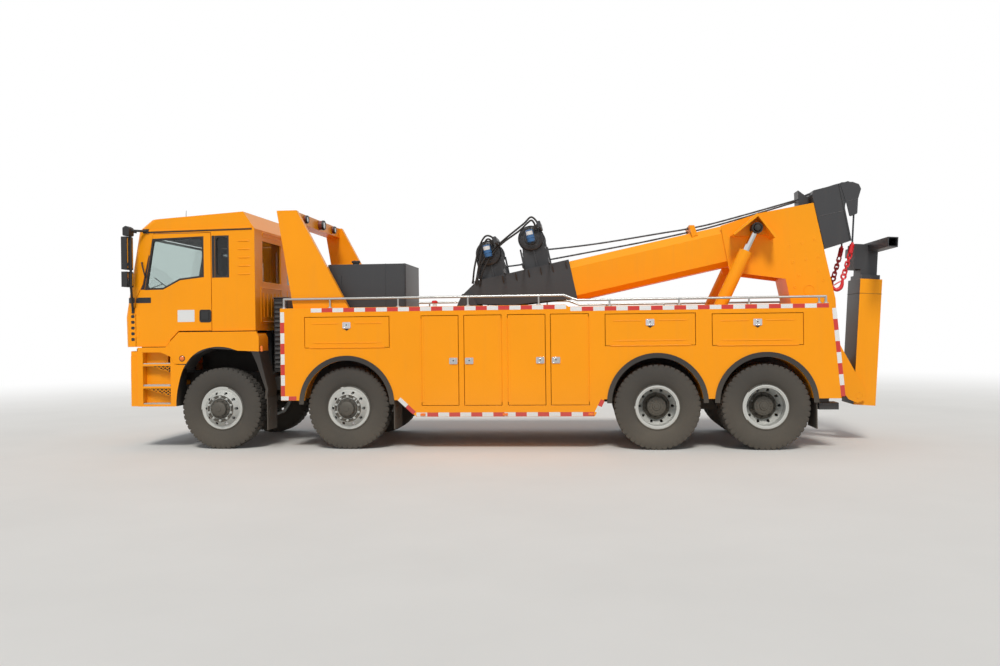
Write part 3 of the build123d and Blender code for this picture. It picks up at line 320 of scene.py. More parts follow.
def finishEdges(piece, bevel, angle):
    mesh = piece.data
    mesh.polygons.foreach_set("use_smooth", np.ones(len(mesh.polygons), dtype=bool))
    mesh.set_sharp_from_angle(angle=math.radians(angle))
    if bevel:
        soft = piece.modifiers.new("softEdge", "BEVEL")
        soft.width = bevel
        soft.segments = 2
        soft.limit_method = "ANGLE"
        soft.angle_limit = math.radians(angle)
        soft.harden_normals = True


def dress(node, finish, bevel=0.003, angle=32, rule=None, borders=(), removed=None):
    # A merged copy of a CAD node with softened edges. The rule gives each face's finish from its middle and normal,
    # borders are planes, each a point and a normal, that split the faces first where a finish ends on them, and
    # removed tells by middle and normal which faces go because a piece of its own stands there
    mesh = nodes[node].data.copy()
    mesh.materials.clear()
    work = bmesh.new()
    work.from_mesh(mesh)
    bmesh.ops.remove_doubles(work, verts=work.verts, dist=2e-5)
    bmesh.ops.dissolve_limit(work, angle_limit=math.radians(0.6), verts=work.verts, edges=work.edges,
                             delimit={"NORMAL"})
    for point, normal in borders:
        bmesh.ops.bisect_plane(work, geom=work.verts[:] + work.edges[:] + work.faces[:], dist=1e-5, plane_co=point,
                               plane_no=normal)
    if removed:
        faces = list(work.faces)
        middles = np.array([face.calc_center_median() for face in faces]).T
        gone = removed(middles, np.array([face.normal for face in faces]).T)
        bmesh.ops.delete(work, geom=[faces[k] for k in np.flatnonzero(gone)], context="FACES")
    work.to_mesh(mesh)
    work.free()
    for item in finish if isinstance(finish, (list, tuple)) else [finish]:
        mesh.materials.append(item)
    if rule:
        middles = np.empty(len(mesh.polygons) * 3)
        normals = np.empty(len(mesh.polygons) * 3)
        mesh.polygons.foreach_get("center", middles)
        mesh.polygons.foreach_get("normal", normals)
        which = rule(middles.reshape(-1, 3).T, normals.reshape(-1, 3).T)
        mesh.polygons.foreach_set("material_index", np.asarray(which, dtype=np.int32))
    for attribute in [item.name for item in mesh.attributes if item.name in ("custom_normal", "sharp_face")]:
        mesh.attributes.remove(mesh.attributes[attribute])
    piece = newObject(node + "_dressed", mesh)
    finishEdges(piece, bevel, angle)
    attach(piece, bodyOf[node])
    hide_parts(node)
    return piece


# Shader node groups
def newGroup(name, inputs, outputs):
    tree = bpy.data.node_groups.new(name, "ShaderNodeTree")
    for label, kind, value in inputs:
        tree.interface.new_socket(label, in_out="INPUT", socket_type=kind).default_value = value
    for label, kind in outputs:
        tree.interface.new_socket(label, in_out="OUTPUT", socket_type=kind)
    return tree, tree.nodes.new("NodeGroupInput").outputs, tree.nodes.new("NodeGroupOutput").inputs


def put(tree, kind, inputs=(), **settings):
    # A node with its settings, and its inputs given as values or as sockets to link from
    node = tree.nodes.new(kind)
    for key, value in settings.items():
        setattr(node, key, value)
    for key, value in dict(inputs).items():
        if isinstance(value, bpy.types.NodeSocket):
            tree.links.new(value, node.inputs[key])
        else:
            node.inputs[key].default_value = value
    return node


def maths(tree, operation, a, b=0.0, clamp=False):
    return put(tree, "ShaderNodeMath", {0: a, 1: b}, operation=operation, use_clamp=clamp).outputs[0]


def spread(tree, value, low, high):
    # From 0 at low to 1 at high
    return put(tree, "ShaderNodeMapRange", {"Value": value, "From Min": low, "From Max": high}).outputs["Result"]


def blendColour(tree, factor, a, b):
    mix = put(tree, "ShaderNodeMix", data_type="RGBA")
    for socket, value in ((mix.inputs[0], factor), (mix.inputs[6], a), (mix.inputs[7], b)):
        if isinstance(value, bpy.types.NodeSocket):
            tree.links.new(value, socket)
        else:
            socket.default_value = value
    return mix.outputs[2]


def noise(tree, where, scale, detail=4.0, roughness=0.55):
    return put(tree, "ShaderNodeTexNoise",
               {"Vector": where, "Scale": scale, "Detail": detail, "Roughness": roughness}).outputs[0]


def makeRoadDirt():
    # Colour varied in large soft patches, road dust that thickens downwards and settles on top, and runs of grime
    tree, given, out = newGroup("roadDirt", [
        ("Colour", "NodeSocketColor", (0.8, 0.8, 0.8, 1)), ("Roughness", "NodeSocketFloat", 0.4),
        ("Dust colour", "NodeSocketColor", (0.3, 0.26, 0.2, 1)), ("Dust", "NodeSocketFloat", 0.4),
        ("Dust top", "NodeSocketFloat", 1.2), ("Runs", "NodeSocketFloat", 0.2), ("Variation", "NodeSocketFloat", 0.06),
    ], [("Colour", "NodeSocketColor"), ("Roughness", "NodeSocketFloat")])
    where = tree.nodes.new("ShaderNodeTexCoord").outputs["Object"]
    height = put(tree, "ShaderNodeSeparateXYZ", {0: where}).outputs[2]
    facing = put(tree, "ShaderNodeSeparateXYZ", {0: tree.nodes.new("ShaderNodeNewGeometry").outputs["Normal"]})
    patches = noise(tree, where, 1.3, 5.0)
    specks = noise(tree, where, 38.0, 6.0, 0.7)
    shade = maths(tree, "MULTIPLY", maths(tree, "SUBTRACT", patches, 0.5), given["Variation"])
    shade = maths(tree, "ADD", maths(tree, "MULTIPLY", shade, 2.0), 1.0)
    toned = put(tree, "ShaderNodeHueSaturation", {"Value": shade, "Color": given["Colour"]}).outputs[0]
    stretched = put(tree, "ShaderNodeMapping", {"Vector": where, "Scale": (9.0, 9.0, 0.55)}).outputs[0]
    runs = spread(tree, noise(tree, stretched, 1.0, 5.0, 0.6), 0.52, 0.78)
    runs = maths(tree, "MULTIPLY", runs, given["Runs"])
    low = put(tree, "ShaderNodeMapRange", {"Value": height, "From Min": given["Dust top"],
                                           "From Max": 0.15}).outputs[0]
    low = maths(tree, "MULTIPLY", maths(tree, "POWER", low, 1.6), maths(tree, "ADD", patches, 0.35))
    top = maths(tree, "MULTIPLY", spread(tree, facing.outputs[2], 0.55, 1.0), 0.45)
    grime = maths(tree, "ADD", maths(tree, "MAXIMUM", low, top), maths(tree, "MULTIPLY", specks, 0.25))
    grime = maths(tree, "MULTIPLY", maths(tree, "SUBTRACT", grime, 0.12), given["Dust"], True)
    grime = maths(tree, "MAXIMUM", grime, runs, True)
    tree.links.new(blendColour(tree, grime, toned, given["Dust colour"]), out["Colour"])
    rough = maths(tree, "ADD", given["Roughness"], maths(tree, "MULTIPLY", grime, 0.5))
    rough = maths(tree, "ADD", rough, maths(tree, "MULTIPLY", maths(tree, "SUBTRACT", specks, 0.5), 0.08))
    tree.links.new(maths(tree, "MINIMUM", rough, 0.95, True), out["Roughness"])
    return tree


def makeChips():
    # Small chips and scratches in the paint, thicker where a large noise is high
    tree, given, out = newGroup("chips", [
        ("Scale", "NodeSocketFloat", 30.0), ("Amount", "NodeSocketFloat", 0.3),
    ], [("Mask", "NodeSocketFloat")])
    where = tree.nodes.new("ShaderNodeTexCoord").outputs["Object"]
    fine = put(tree, "ShaderNodeTexNoise", {"Vector": where, "Scale": given["Scale"], "Detail": 8.0,
                                            "Roughness": 0.75}).outputs[0]
    broad = noise(tree, where, 2.1, 3.0)
    amount = maths(tree, "MULTIPLY", given["Amount"], maths(tree, "MULTIPLY", broad, 0.5))
    level = maths(tree, "SUBTRACT", 0.86, amount)
    tree.links.new(maths(tree, "MULTIPLY", maths(tree, "SUBTRACT", fine, level), 14.0, True), out["Mask"])
    return tree


def makeGrain():
    # A fine surface: the orange peel of paint, cast skin or moulded plastic, by its scale and sharpness
    tree, given, out = newGroup("grain", [
        ("Scale", "NodeSocketFloat", 220.0), ("Detail", "NodeSocketFloat", 2.0), ("Waviness", "NodeSocketFloat", 0.3),
    ], [("Height", "NodeSocketFloat")])
    where = tree.nodes.new("ShaderNodeTexCoord").outputs["Object"]
    fine = put(tree, "ShaderNodeTexNoise", {"Vector": where, "Scale": given["Scale"],
                                            "Detail": given["Detail"]}).outputs[0]
    wave = maths(tree, "MULTIPLY", noise(tree, where, 2.6, 2.0), given["Waviness"])
    tree.links.new(maths(tree, "ADD", fine, maths(tree, "MULTIPLY", wave, 12.0)), out["Height"])
    return tree


roadDirt, chips, grain = makeRoadDirt(), makeChips(), makeGrain()


def linear(red, green, blue):
    # A screen colour of 0 to 255 as the linear colour that shaders use
    channel = np.array([red, green, blue]) / 255
    value = np.where(channel < 0.04045, channel / 12.92, ((channel + 0.055) / 1.055) ** 2.4)
    return (*value.tolist(), 1.0)


dustTone = linear(134, 124, 108)
finishTable = {
    # colour, roughness, metal, coat, dust, height of the dust, runs, grain's scale and depth, chips, colour under them
    "orangePaint": (linear(255, 160, 10), 0.36, 0.0, 0.12, 0.16, 1.2, 0.04, 260, 0.05, 0.08, linear(120, 70, 30)),
    "orangeGear": (linear(254, 164, 18), 0.44, 0.0, 0.08, 0.18, 1.0, 0.07, 200, 0.08, 0.3, linear(96, 60, 38)),
    "blackGear": (linear(50, 51, 54), 0.5, 0.0, 0.1, 0.15, 1.3, 0.04, 240, 0.12, 0.3, linear(92, 84, 76)),
    "frameBlack": (linear(34, 34, 36), 0.6, 0.0, 0.0, 0.55, 1.4, 0.2, 180, 0.2, 0.4, linear(84, 66, 50)),
    "castBlack": (linear(38, 37, 37), 0.72, 0.1, 0.0, 0.6, 1.5, 0.2, 120, 0.4, 0.4, linear(80, 60, 46)),
    "rimSilver": (linear(196, 198, 194), 0.42, 0.2, 0.1, 0.24, 1.3, 0.06, 300, 0.05, 0.4, linear(96, 86, 74)),
    "hubMetal": (linear(74, 74, 72), 0.55, 0.5, 0.0, 0.6, 1.4, 0.15, 220, 0.25, 0.6, linear(78, 58, 44)),
    "rubberTyre": (linear(46, 46, 47), 0.82, 0.0, 0.0, 0.38, 2.6, 0.1, 240, 0.3, 0.0, linear(70, 62, 52)),
    "rubberTrim": (linear(40, 37, 36), 0.7, 0.0, 0.0, 0.45, 1.6, 0.1, 300, 0.2, 0.0, linear(60, 50, 44)),
    "darkPlastic": (linear(30, 31, 33), 0.55, 0.0, 0.0, 0.3, 1.4, 0.08, 420, 0.2, 0.1, linear(70, 68, 66)),
    "trimGrey": (linear(86, 86, 88), 0.7, 0.0, 0.0, 0.1, 0.5, 0.02, 500, 0.25, 0.0, linear(60, 60, 60)),
    "seatCloth": (linear(58, 60, 66), 0.9, 0.0, 0.0, 0.1, 0.5, 0.02, 900, 0.5, 0.0, linear(60, 60, 60)),
    "steelBright": (linear(176, 176, 174), 0.3, 0.9, 0.0, 0.2, 1.0, 0.05, 300, 0.1, 0.15, linear(110, 96, 84)),
    "ropeSteel": (linear(70, 72, 76), 0.5, 0.7, 0.0, 0.3, 1.0, 0.1, 500, 0.3, 0.2, linear(60, 48, 38)),
    "chromePlate": (linear(205, 205, 206), 0.1, 1.0, 0.0, 0.1, 1.0, 0.02, 300, 0.02, 0.05, linear(120, 110, 100)),
    "redPaint": (linear(216, 24, 34), 0.4, 0.0, 0.25, 0.15, 1.0, 0.08, 240, 0.1, 0.5, linear(90, 40, 34)),
    "motorBlue": (linear(52, 104, 158), 0.4, 0.0, 0.2, 0.2, 1.0, 0.08, 240, 0.1, 0.3, linear(60, 60, 66)),
    "labelWhite": (linear(226, 228, 228), 0.5, 0.0, 0.1, 0.12, 1.0, 0.04, 300, 0.02, 0.1, linear(150, 150, 150)),
    "stepMetal": (linear(196, 190, 182), 0.5, 0.4, 0.0, 0.5, 1.4, 0.2, 160, 0.3, 0.9, linear(150, 110, 70)),
    "mirrorGlass": (linear(200, 205, 208), 0.04, 1.0, 0.0, 0.05, 0.4, 0.0, 300, 0.0, 0.0, linear(120, 120, 120)),
    "lampRed": (linear(160, 22, 20), 0.2, 0.0, 0.6, 0.15, 1.2, 0.02, 300, 0.02, 0.0, linear(60, 20, 20)),
    "lampBrown": (linear(120, 48, 36), 0.3, 0.0, 0.4, 0.2, 1.0, 0.05, 300, 0.05, 0.0, linear(60, 30, 20)),
    "lampAmber": (linear(244, 120, 20), 0.2, 0.0, 0.6, 0.1, 1.2, 0.02, 300, 0.02, 0.0, linear(120, 60, 20)),
    "lampClear": (linear(196, 202, 206), 0.12, 0.2, 0.7, 0.12, 1.2, 0.02, 300, 0.02, 0.0, linear(120, 120, 120)),
}
finishes = {}


def newMaterial(name, values=()):
    material = bpy.data.materials.new(name)
    material.use_nodes = True
    given = material.node_tree.nodes["Principled BSDF"].inputs
    for label, value in dict(values).items():
        given[label].default_value = value
    return material, material.node_tree, given


def makeFinish(name):
    colour, rough, metal, coat, dust, dustTop, runs, scale, depth, chipped, under = finishTable[name]
    finishes[name], tree, given = newMaterial(name, {
        "Metallic": metal, "Coat Weight": coat, "Coat Roughness": 0.18,
        "Specular IOR Level": 0.2 if name.startswith("orange") else 0.5,
    })
    dirt = put(tree, "ShaderNodeGroup", {"Colour": colour, "Roughness": rough, "Dust colour": dustTone, "Dust": dust,
                                         "Dust top": dustTop, "Runs": runs}, node_tree=roadDirt).outputs
    tone = dirt["Colour"]
    if chipped:
        worn = put(tree, "ShaderNodeGroup", {"Amount": chipped}, node_tree=chips)
        tone = blendColour(tree, worn.outputs["Mask"], tone, under)
    tree.links.new(tone, given["Base Color"])
    tree.links.new(dirt["Roughness"], given["Roughness"])
    if depth:
        surface = put(tree, "ShaderNodeGroup", {"Scale": scale}, node_tree=grain).outputs["Height"]
        bump = put(tree, "ShaderNodeBump", {"Height": surface, "Strength": depth, "Distance": 0.002})
        tree.links.new(bump.outputs["Normal"], given["Normal"])


for finishName in finishTable:
    makeFinish(finishName)


def makeGlass(name, tint, roughness):
    finishes[name] = newMaterial(name, {"Base Color": tint, "Transmission Weight": 1.0, "IOR": 1.45,
                                        "Roughness": roughness})[0]


makeGlass("windowGlass", linear(214, 224, 222), 0.02)
makeGlass("tintedGlass", linear(120, 128, 130), 0.02)


def makeTape(name, colour):
    # Reflective tape: a fine net of cells under a clear face, with dust
    finishes[name], tree, given = newMaterial(name, {"Coat Weight": 0.5})
    where = tree.nodes.new("ShaderNodeTexCoord").outputs["Object"]
    cells = put(tree, "ShaderNodeTexVoronoi", {"Vector": where, "Scale": 190.0}, feature="DISTANCE_TO_EDGE").outputs[0]
    shade = blendColour(tree, spread(tree, cells, 0.0, 0.08), tuple(0.72 * c for c in colour[:3]) + (1.0,), colour)
    dirt = put(tree, "ShaderNodeGroup", {"Colour": shade, "Roughness": 0.32, "Dust": 0.3, "Dust top": 1.3,
                                         "Runs": 0.08}, node_tree=roadDirt).outputs
    tree.links.new(dirt["Colour"], given["Base Color"])
    tree.links.new(dirt["Roughness"], given["Roughness"])


makeTape("tapeRed", linear(214, 44, 36))
makeTape("tapeWhite", linear(238, 238, 236))
print("finishes made:", len(finishes))


def paint(*names):
    chosen = [finishes[name] for name in names]
    return chosen if len(chosen) > 1 else chosen[0]


# Wheels
wheel = {
    "axles": (3.860, 2.060, -2.115, -3.515), "hubHeight": 0.5625, "singleY": 1.030, "twinY": (0.748, 1.092),
    "twinDiscY": 0.920, "lugs": 46, "perLug": 8, "grooveDepth": 0.016, "treadHalf": 0.122, "radius": 0.5625,
    "treadColumns": 19, "shoulder": 0.505,
}
tyreProfile = ((0.0975, 0.2585), (0.0975, 0.300), (0.110, 0.318), (0.128, 0.345), (0.1395, 0.375), (0.1475, 0.415),
               (0.150, 0.450), (0.147, 0.485), (0.1405, 0.515), (0.1335, 0.540), (0.122, 0.5625))


def tyreShape(x, y):
    # Half of the profile is mirrored; grooves lower the tread where they run, by the angle and the place across it
    half = np.array(tyreProfile)
    half = np.vstack([half[:1]] + [a + (b - a) * np.array([[0.5], [1.0]]) for a, b in zip(half, half[1:])])
    columns = wheel["treadColumns"]
    treadY = np.linspace(wheel["treadHalf"], -wheel["treadHalf"], columns + 2)[1:-1]
    profile = np.vstack([half, np.stack([treadY, np.full(columns, wheel["radius"])], 1), half[::-1] * (-1, 1)])
    around = wheel["lugs"] * wheel["perLug"]
    angle = np.linspace(0, 2 * np.pi, around, endpoint=False)
    phase = np.arange(around) % wheel["perLug"]
    across, radius = np.meshgrid(profile[:, 0], angle, indexing="ij")[0], np.repeat(profile[:, 1:], around, axis=1)
    lug = np.arange(around) // wheel["perLug"]
    zigzag = np.where((lug % 2) == 0, 0.006, -0.006)[None, :]
    # crosswise notches at the shoulders, staggered notches in the middle, and zigzag grooves round the tyre
    notch = ((phase >= wheel["perLug"] - 2)[None, :] & (np.abs(across) > 0.078))
    shifted = (np.arange(around) + wheel["perLug"] // 2) % wheel["perLug"] >= wheel["perLug"] - 1
    middle = shifted[None, :] & (np.abs(across) < 0.070)
    rings = np.minimum(np.abs(np.abs(across - zigzag) - 0.030), np.abs(np.abs(across + zigzag) - 0.074)) < 0.0062
    shoulder = np.clip((radius - wheel["shoulder"]) / (wheel["radius"] - wheel["shoulder"]), 0, 1)
    onTread = radius > wheel["radius"] - 0.0005
    cut = np.where(onTread, np.maximum(np.maximum(notch, rings), middle * 0.8), notch * shoulder ** 1.5)
    radius = radius - wheel["grooveDepth"] * cut * np.where(onTread, 1.0, 0.4)
    across = across - np.sign(across) * 0.009 * np.where(onTread, 0, notch * shoulder)
    # raised rings on the sidewall
    for ring, size in ((0.332, 0.0022), (0.480, 0.0016)):
        across = across + np.sign(across) * size * np.exp(-((radius - ring) / 0.006) ** 2)
    points = np.stack([x + radius * np.cos(angle), y + across, wheel["hubHeight"] + radius * np.sin(angle)], -1)
    return points.reshape(-1, 3), gridFaces(len(profile), around, True, True)


def makeTyres(axle, side, letter):
    rows = (wheel["singleY"],) if axle < 2 else wheel["twinY"]
    node = f"tyre_{axle + 1}{letter}"
    shapes = [tyreShape(wheel["axles"][axle], side * row) for row in rows]
    tyre = makePiece(node + "_tread", shapes, bodyOf[node], paint("rubberTyre"), angle=50, clean=False)
    turnOut(tyre.data)
    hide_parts(node)


wheelNuts = {"circle": 0.1625, "count": 10, "across": 0.032, "height": 0.024, "turn": 0.31}


def makeHubDetail(axle, side, letter):
    # Wheel nuts and the hub's cap; the twins' outer rim has a lock ring, the single rim a line round its hub
    single = axle < 2
    name = f"{axle + 1}{letter}"
    body = f"wheel_{name}"
    out = (0, side, 0)
    face = wheel["singleY"] + 0.172 if single else wheel["twinDiscY"]

    def at(proud=0.0):
        return (wheel["axles"][axle], side * (face + proud), wheel["hubHeight"])

    if single:
        shapes = [nuts(at(), out, **wheelNuts),
                  lathe([(0.001, 0.141), (0.006, 0.141), (0.006, 0.146), (0.001, 0.147)], at(), out, 80, True)]
        cap = [nuts(at(0.0125), out, 0.117, 10, 0.019, 0.010),
               lathe([(0.069, 0), (0.069, 0.036), (0.076, 0.032), (0.076, 0)], at(), out, 24)]
    else:
        shapes = [nuts(at(0.0142), out, **wheelNuts)]
        cap = [nuts(at(0.118), out, 0.092, 14, 0.018, 0.012),
               lathe([(0.136, 0), (0.136, 0.030), (0.146, 0.026), (0.146, 0)], at(), out, 24)]
    makePiece(f"hubNuts_{name}", shapes, body, paint("rimSilver" if single else "hubMetal"), 0.0008)
    makePiece(f"hubCap_{name}", cap, body, paint("hubMetal"), 0.0008)
    if not single:
        lock = [lathe([(-0.004, 0.268), (0.0115, 0.268), (0.013, 0.276), (0.010, 0.284), (-0.004, 0.286)], at(0.270),
                      out, 96, True)]
        makePiece(f"lockRing_{name}", lock, body, paint("rimSilver"))


def rimRule(middle, normal):
    # The hub and the drum are bare metal, the rest is silver
    x = min(wheel["axles"], key=lambda a: abs(a - middle[0].mean()))
    radius = np.hypot(middle[0] - x, middle[2] - wheel["hubHeight"])
    return (radius < 0.139).astype(int)


for axle in range(4):
    for side, letter in sides:
        makeTyres(axle, side, letter)
        dress(f"rim_{axle + 1}{letter}", paint("rimSilver", "hubMetal"), 0.0012, 40, rimRule)
        makeHubDetail(axle, side, letter)
        if axle < 2:
            dress(f"knuckle_{axle + 1}{letter}", paint("castBlack"), 0.004)
print("wheels made")


# The boom's own frame: u runs back along it from its front pivot, w up from its middle line
boom = {"pivot": (0.510, 2.060), "slope": math.radians(12), "liftPin": (4.140, 0.040),
        "sheave": (5.520, 0.300), "sheaveY": 0.270, "ropeReach": 0.098, "ferruleTop": (-4.880, 2.735)}


def boomPoint(u, w, y=0.0):
    c, s = math.cos(boom["slope"]), math.sin(boom["slope"])
    return np.array((boom["pivot"][0] - u * c + w * s, y, boom["pivot"][1] + u * s + w * c))


boomBack = boomPoint(1, 0) - boomPoint(0, 0)
boomUp = boomPoint(0, 1) - boomPoint(0, 0)


def boomPlate(outline, place, depth):
    # An outline in u and w about a place, carried along Y by the depth
    return prism(outline, place, boomBack, boomUp, depth)


def crossPlate(outline, u, depth):
    # An outline in Y and w across the boom at u, carried back along it by the depth
    near = np.array([boomPoint(u, w, y) for y, w in outline])
    count = len(near)
    return (np.vstack([near, near + boomBack * depth]),
            gridFaces(2, count, False, True) + [list(range(count)), list(range(count, 2 * count))])


# The CAD nodes that stay, with softened edges and their finishes
guardFace = 1.2352    # just outside the mudguard's outer side
guardTop = 1.356    # the black guard behind the first wheel ends here, under the orange mudguard


def fenderRule(middle, normal):
    # Flaps, trims and the guard are black, and so is what faces the wheel
    trim = (np.abs(middle[1]) > 1.2501) & (middle[0] < 2.9)
    flap = ((middle[0] < 3.19) & (middle[2] < 0.72)) | ((middle[0] < 2.9) & ~trim)
    lower = (middle[0] < 3.42) & (middle[2] < guardTop)
    away = np.stack([middle[0] - wheel["axles"][0], middle[2] - wheel["hubHeight"]])
    inward = (away[0] * normal[0] + away[1] * normal[2]) / np.hypot(*away) < -0.5
    hidden = normal[1] * np.sign(middle[1]) < -0.9
    covered = (normal[1] * np.sign(middle[1]) > 0.9) & (middle[0] > 3.28) & (middle[2] > 1.1)    # by the arch panel
    return (trim | flap | lower | inward | hidden | covered).astype(int)


def bumperRule(middle, normal):
    # What faces the wheel, the ground or the frame is black, and so are the arms that hold the bumper
    rear = (normal[0] < -0.6) & (middle[0] < 4.57)
    arms = (np.abs(middle[1]) < 0.345) & (middle[0] < 5.19) & (middle[2] > 0.79) & (middle[2] < 0.97)
    inner = (normal[1] * np.sign(middle[1]) < -0.9) & (middle[0] < 5.05)
    return (rear | arms | inner | (normal[2] < -0.9)).astype(int)


def cabRule(middle, normal):
    # The underside is black, and the room inside is lined in grey
    towards = (4.3 - middle[0]) * normal[0] - middle[1] * normal[1] + (2.4 - middle[2]) * normal[2]
    inside = (towards > 0) & (np.abs(middle[1]) < 1.147) & (middle[0] > 3.39)
    return np.where(inside, 2, ((normal[2] < -0.6) & (middle[2] < 1.70)).astype(int))


def doorRule(middle, normal):
    return (np.abs(middle[1]) < 1.146).astype(int)


def rodEyeShadeRule(middle, normal):
    # The eyes at the upper ends of the rods are black as painted shade, where they sit in shadow under the hoods
    pin = boomPoint(*boom["liftPin"])
    return (np.hypot(middle[0] - pin[0], middle[2] - pin[2]) < 0.088).astype(int)


def boomRule(middle, normal):
    # The box on the mouth's top that guides the ropes is black
    c, s = math.cos(boom["slope"]), math.sin(boom["slope"])
    u = -(middle[0] - boom["pivot"][0]) * c + (middle[2] - boom["pivot"][1]) * s
    w = (middle[0] - boom["pivot"][0]) * s + (middle[2] - boom["pivot"][1]) * c
    return ((np.abs(middle[1]) < 0.1305) & (w > 0.224) & (u > 4.8)).astype(int)


def plainSheave(middle, normal):
    # The two sheaves' own faces between the cheeks, where grooved ones stand
    axis = boomPoint(*boom["sheave"])
    far, reach = np.hypot(middle[0] - axis[0], middle[2] - axis[2]), np.abs(middle[1])
    return (reach > 0.2395) & (reach < 0.3005) & (far < 0.107) & ((far > 0.09) | (np.abs(normal[1]) > 0.9))


def deckRule(middle, normal):
    # The bracket that carries the boom's front pivot is black
    return ((middle[2] > 1.94) & (np.abs(middle[0] - 0.6) < 0.5) & (np.abs(middle[1]) < 0.6)).astype(int)


def mastFrontShadeRule(middle, normal):
    # The mast's faces that look forward, above a metre, are black as painted shade on the orange mast
    return ((normal[0] > 0.9) & (middle[2] > 1.0)).astype(int)


def glassRule(middle, normal):
    return (middle[0] < 3.95).astype(int)


def hoodPlate(middle, normal):
    # The plate over the outer side of each lift cylinder's upper end, which the photograph doesn't show
    reach = np.abs(middle[1])
    return (reach > 0.652) | ((reach > 0.6505) & (np.abs(normal[1]) > 0.9))


def lampRule(middle, normal):
    return np.where(middle[2] > 3, 1, np.where(middle[0] < 0, 2, 0))


dressTable = {
    # the finish or finishes, the width of the softened edges and the rule that gives each face its finish
    "winches": ("blackGear", 0.003), "cabinet_l": ("orangePaint", 0.004), "cabinet_r": ("orangePaint", 0.004),
    "oil_tank": ("blackGear", 0.003), "frame": ("frameBlack", 0.003), "underlift_head": ("blackGear", 0.005),
    "stabiliser_l": ("blackGear", 0.004), "stabiliser_r": ("blackGear", 0.004), "mirrors": ("darkPlastic", 0.012),
    "lift_barrels": ("orangeGear", 0.003), "deck_rails": ("steelBright", 0.0),
    "axles_and_engine": ("castBlack", 0.004),
    "boom": (("orangeGear", "blackGear"), 0.004, boomRule), "boom_inner": ("blackGear", 0.006),
    "lift_rods": (("chromePlate", "castBlack"), 0.002, rodEyeShadeRule),
    "deck_and_gantry": (("orangePaint", "blackGear"), 0.004, deckRule),
    "cab_door_l": (("orangePaint", "trimGrey"), 0.004, doorRule),
    "cab_door_r": (("orangePaint", "trimGrey"), 0.004, doorRule),
    "cab_shell": (("orangePaint", "darkPlastic", "trimGrey"), 0.006, cabRule),
    "bumper": (("orangePaint", "frameBlack"), 0.010, bumperRule),
    "underlift_mast": (("orangeGear", "blackGear"), 0.005, mastFrontShadeRule),
    "fenders": (("orangePaint", "rubberTrim"), 0.005, fenderRule),
    "lamps": (("lampClear", "lampBrown", "lampRed"), 0.004, lampRule),
    "cab_glass": (("windowGlass", "tintedGlass"), 0.0, glassRule),
}
removedFaces = {"boom": hoodPlate, "boom_inner": plainSheave}
bordersOf = {"fenders": [((3.4, 0, guardTop), (0, 0, 1))]}
for node, (names, softEdge, *rule) in dressTable.items():
    dress(node, paint(*([names] if isinstance(names, str) else names)), softEdge, 32, rule[0] if rule else None,
          bordersOf.get(node, ()), removedFaces.get(node))
for side, letter in sides:
    for leaf in ("door_1", "door_2", "door_3", "door_4", "hatch_1", "hatch_2", "hatch_3"):
        dress(f"{leaf}_{letter}", paint("orangePaint"), 0.0035)
print("nodes dressed")


# Red and white tape along the edges of the cabinets
tape = {"width": 0.055, "thick": 0.0009, "length": 0.152, "gap": 0.0006, "sideY": 1.250}
tapeRuns = (
    # start and end in X and Z of the strip's middle line
    ((2.545, 1.9035), (-0.93, 1.9035)), ((-0.985, 1.8735), (-4.31, 1.8735)),
    ((2.948, 1.885), (2.948, 0.735)), ((2.978, 0.705), (2.76, 0.705)),
    ((1.335, 0.692), (1.125, 0.498)), ((1.10, 0.4795), (-1.285, 0.4795)),
    ((-1.318, 0.500), (-1.400, 0.665)), ((-4.376, 1.84), (-4.478, 0.70)),
)


def tapeStrip(start, end, side):
    start, end = np.array(start), np.array(end)
    run = end - start
    length = np.linalg.norm(run)
    run /= length
    up = np.array([-run[1], run[0]])
    count = max(2, round(length / tape["length"]))
    half = tape["width"] / 2
    shapes = []
    for k in range(count):
        a = start + run * (length * k / count + tape["gap"])
        b = start + run * (length * (k + 1) / count - tape["gap"])
        corners = roundedOutline([a - up * half, b - up * half, b + up * half, a + up * half], 0.003, 3)
        y = side * (tape["sideY"] + 0.0001)
        shape = sidePlate(corners, y, side * tape["thick"])
        shapes.append((*shape, k % 2))
    return shapes


for side, letter in sides:
    strips = []
    for start, end in tapeRuns:
        strips += tapeStrip(start, end, side)
    makePiece(f"edgeTape_{letter}", strips, "chassis", paint("tapeWhite", "tapeRed"))
print("tape laid")


# Doors and hatches: latches and pressed beads
bodyFace = 1.2501    # just outside the cabinets' sides
doorTable = {
    # middle in X, width, bottom, top and the hinged edge
    "door_1": (0.770, 0.495, 0.605, 1.805, "front"), "door_2": (0.190, 0.495, 0.605, 1.805, "rear"),
    "door_3": (-0.397, 0.495, 0.605, 1.805, "front"), "door_4": (-0.971, 0.495, 0.605, 1.805, "rear"),
    "hatch_1": (2.048, 1.165, 1.395, 1.805, "bottom"), "hatch_2": (-2.028, 1.165, 1.385, 1.795, "bottom"),
    "hatch_3": (-3.409, 1.150, 1.375, 1.780, "bottom"),
}
latch = {"width": 0.112, "height": 0.086, "y": 1.250 + 0.0065, "doorZ": 1.198, "fromEdge": 0.065, "fromTop": 0.110}
bead = {"y": 1.2495, "radius": 0.0075, "end": 0.002, "points": 12, "fromEdge": 0.09, "fromTop": 0.085,
        "fromFoot": 0.062, "besideLatch": 0.10}


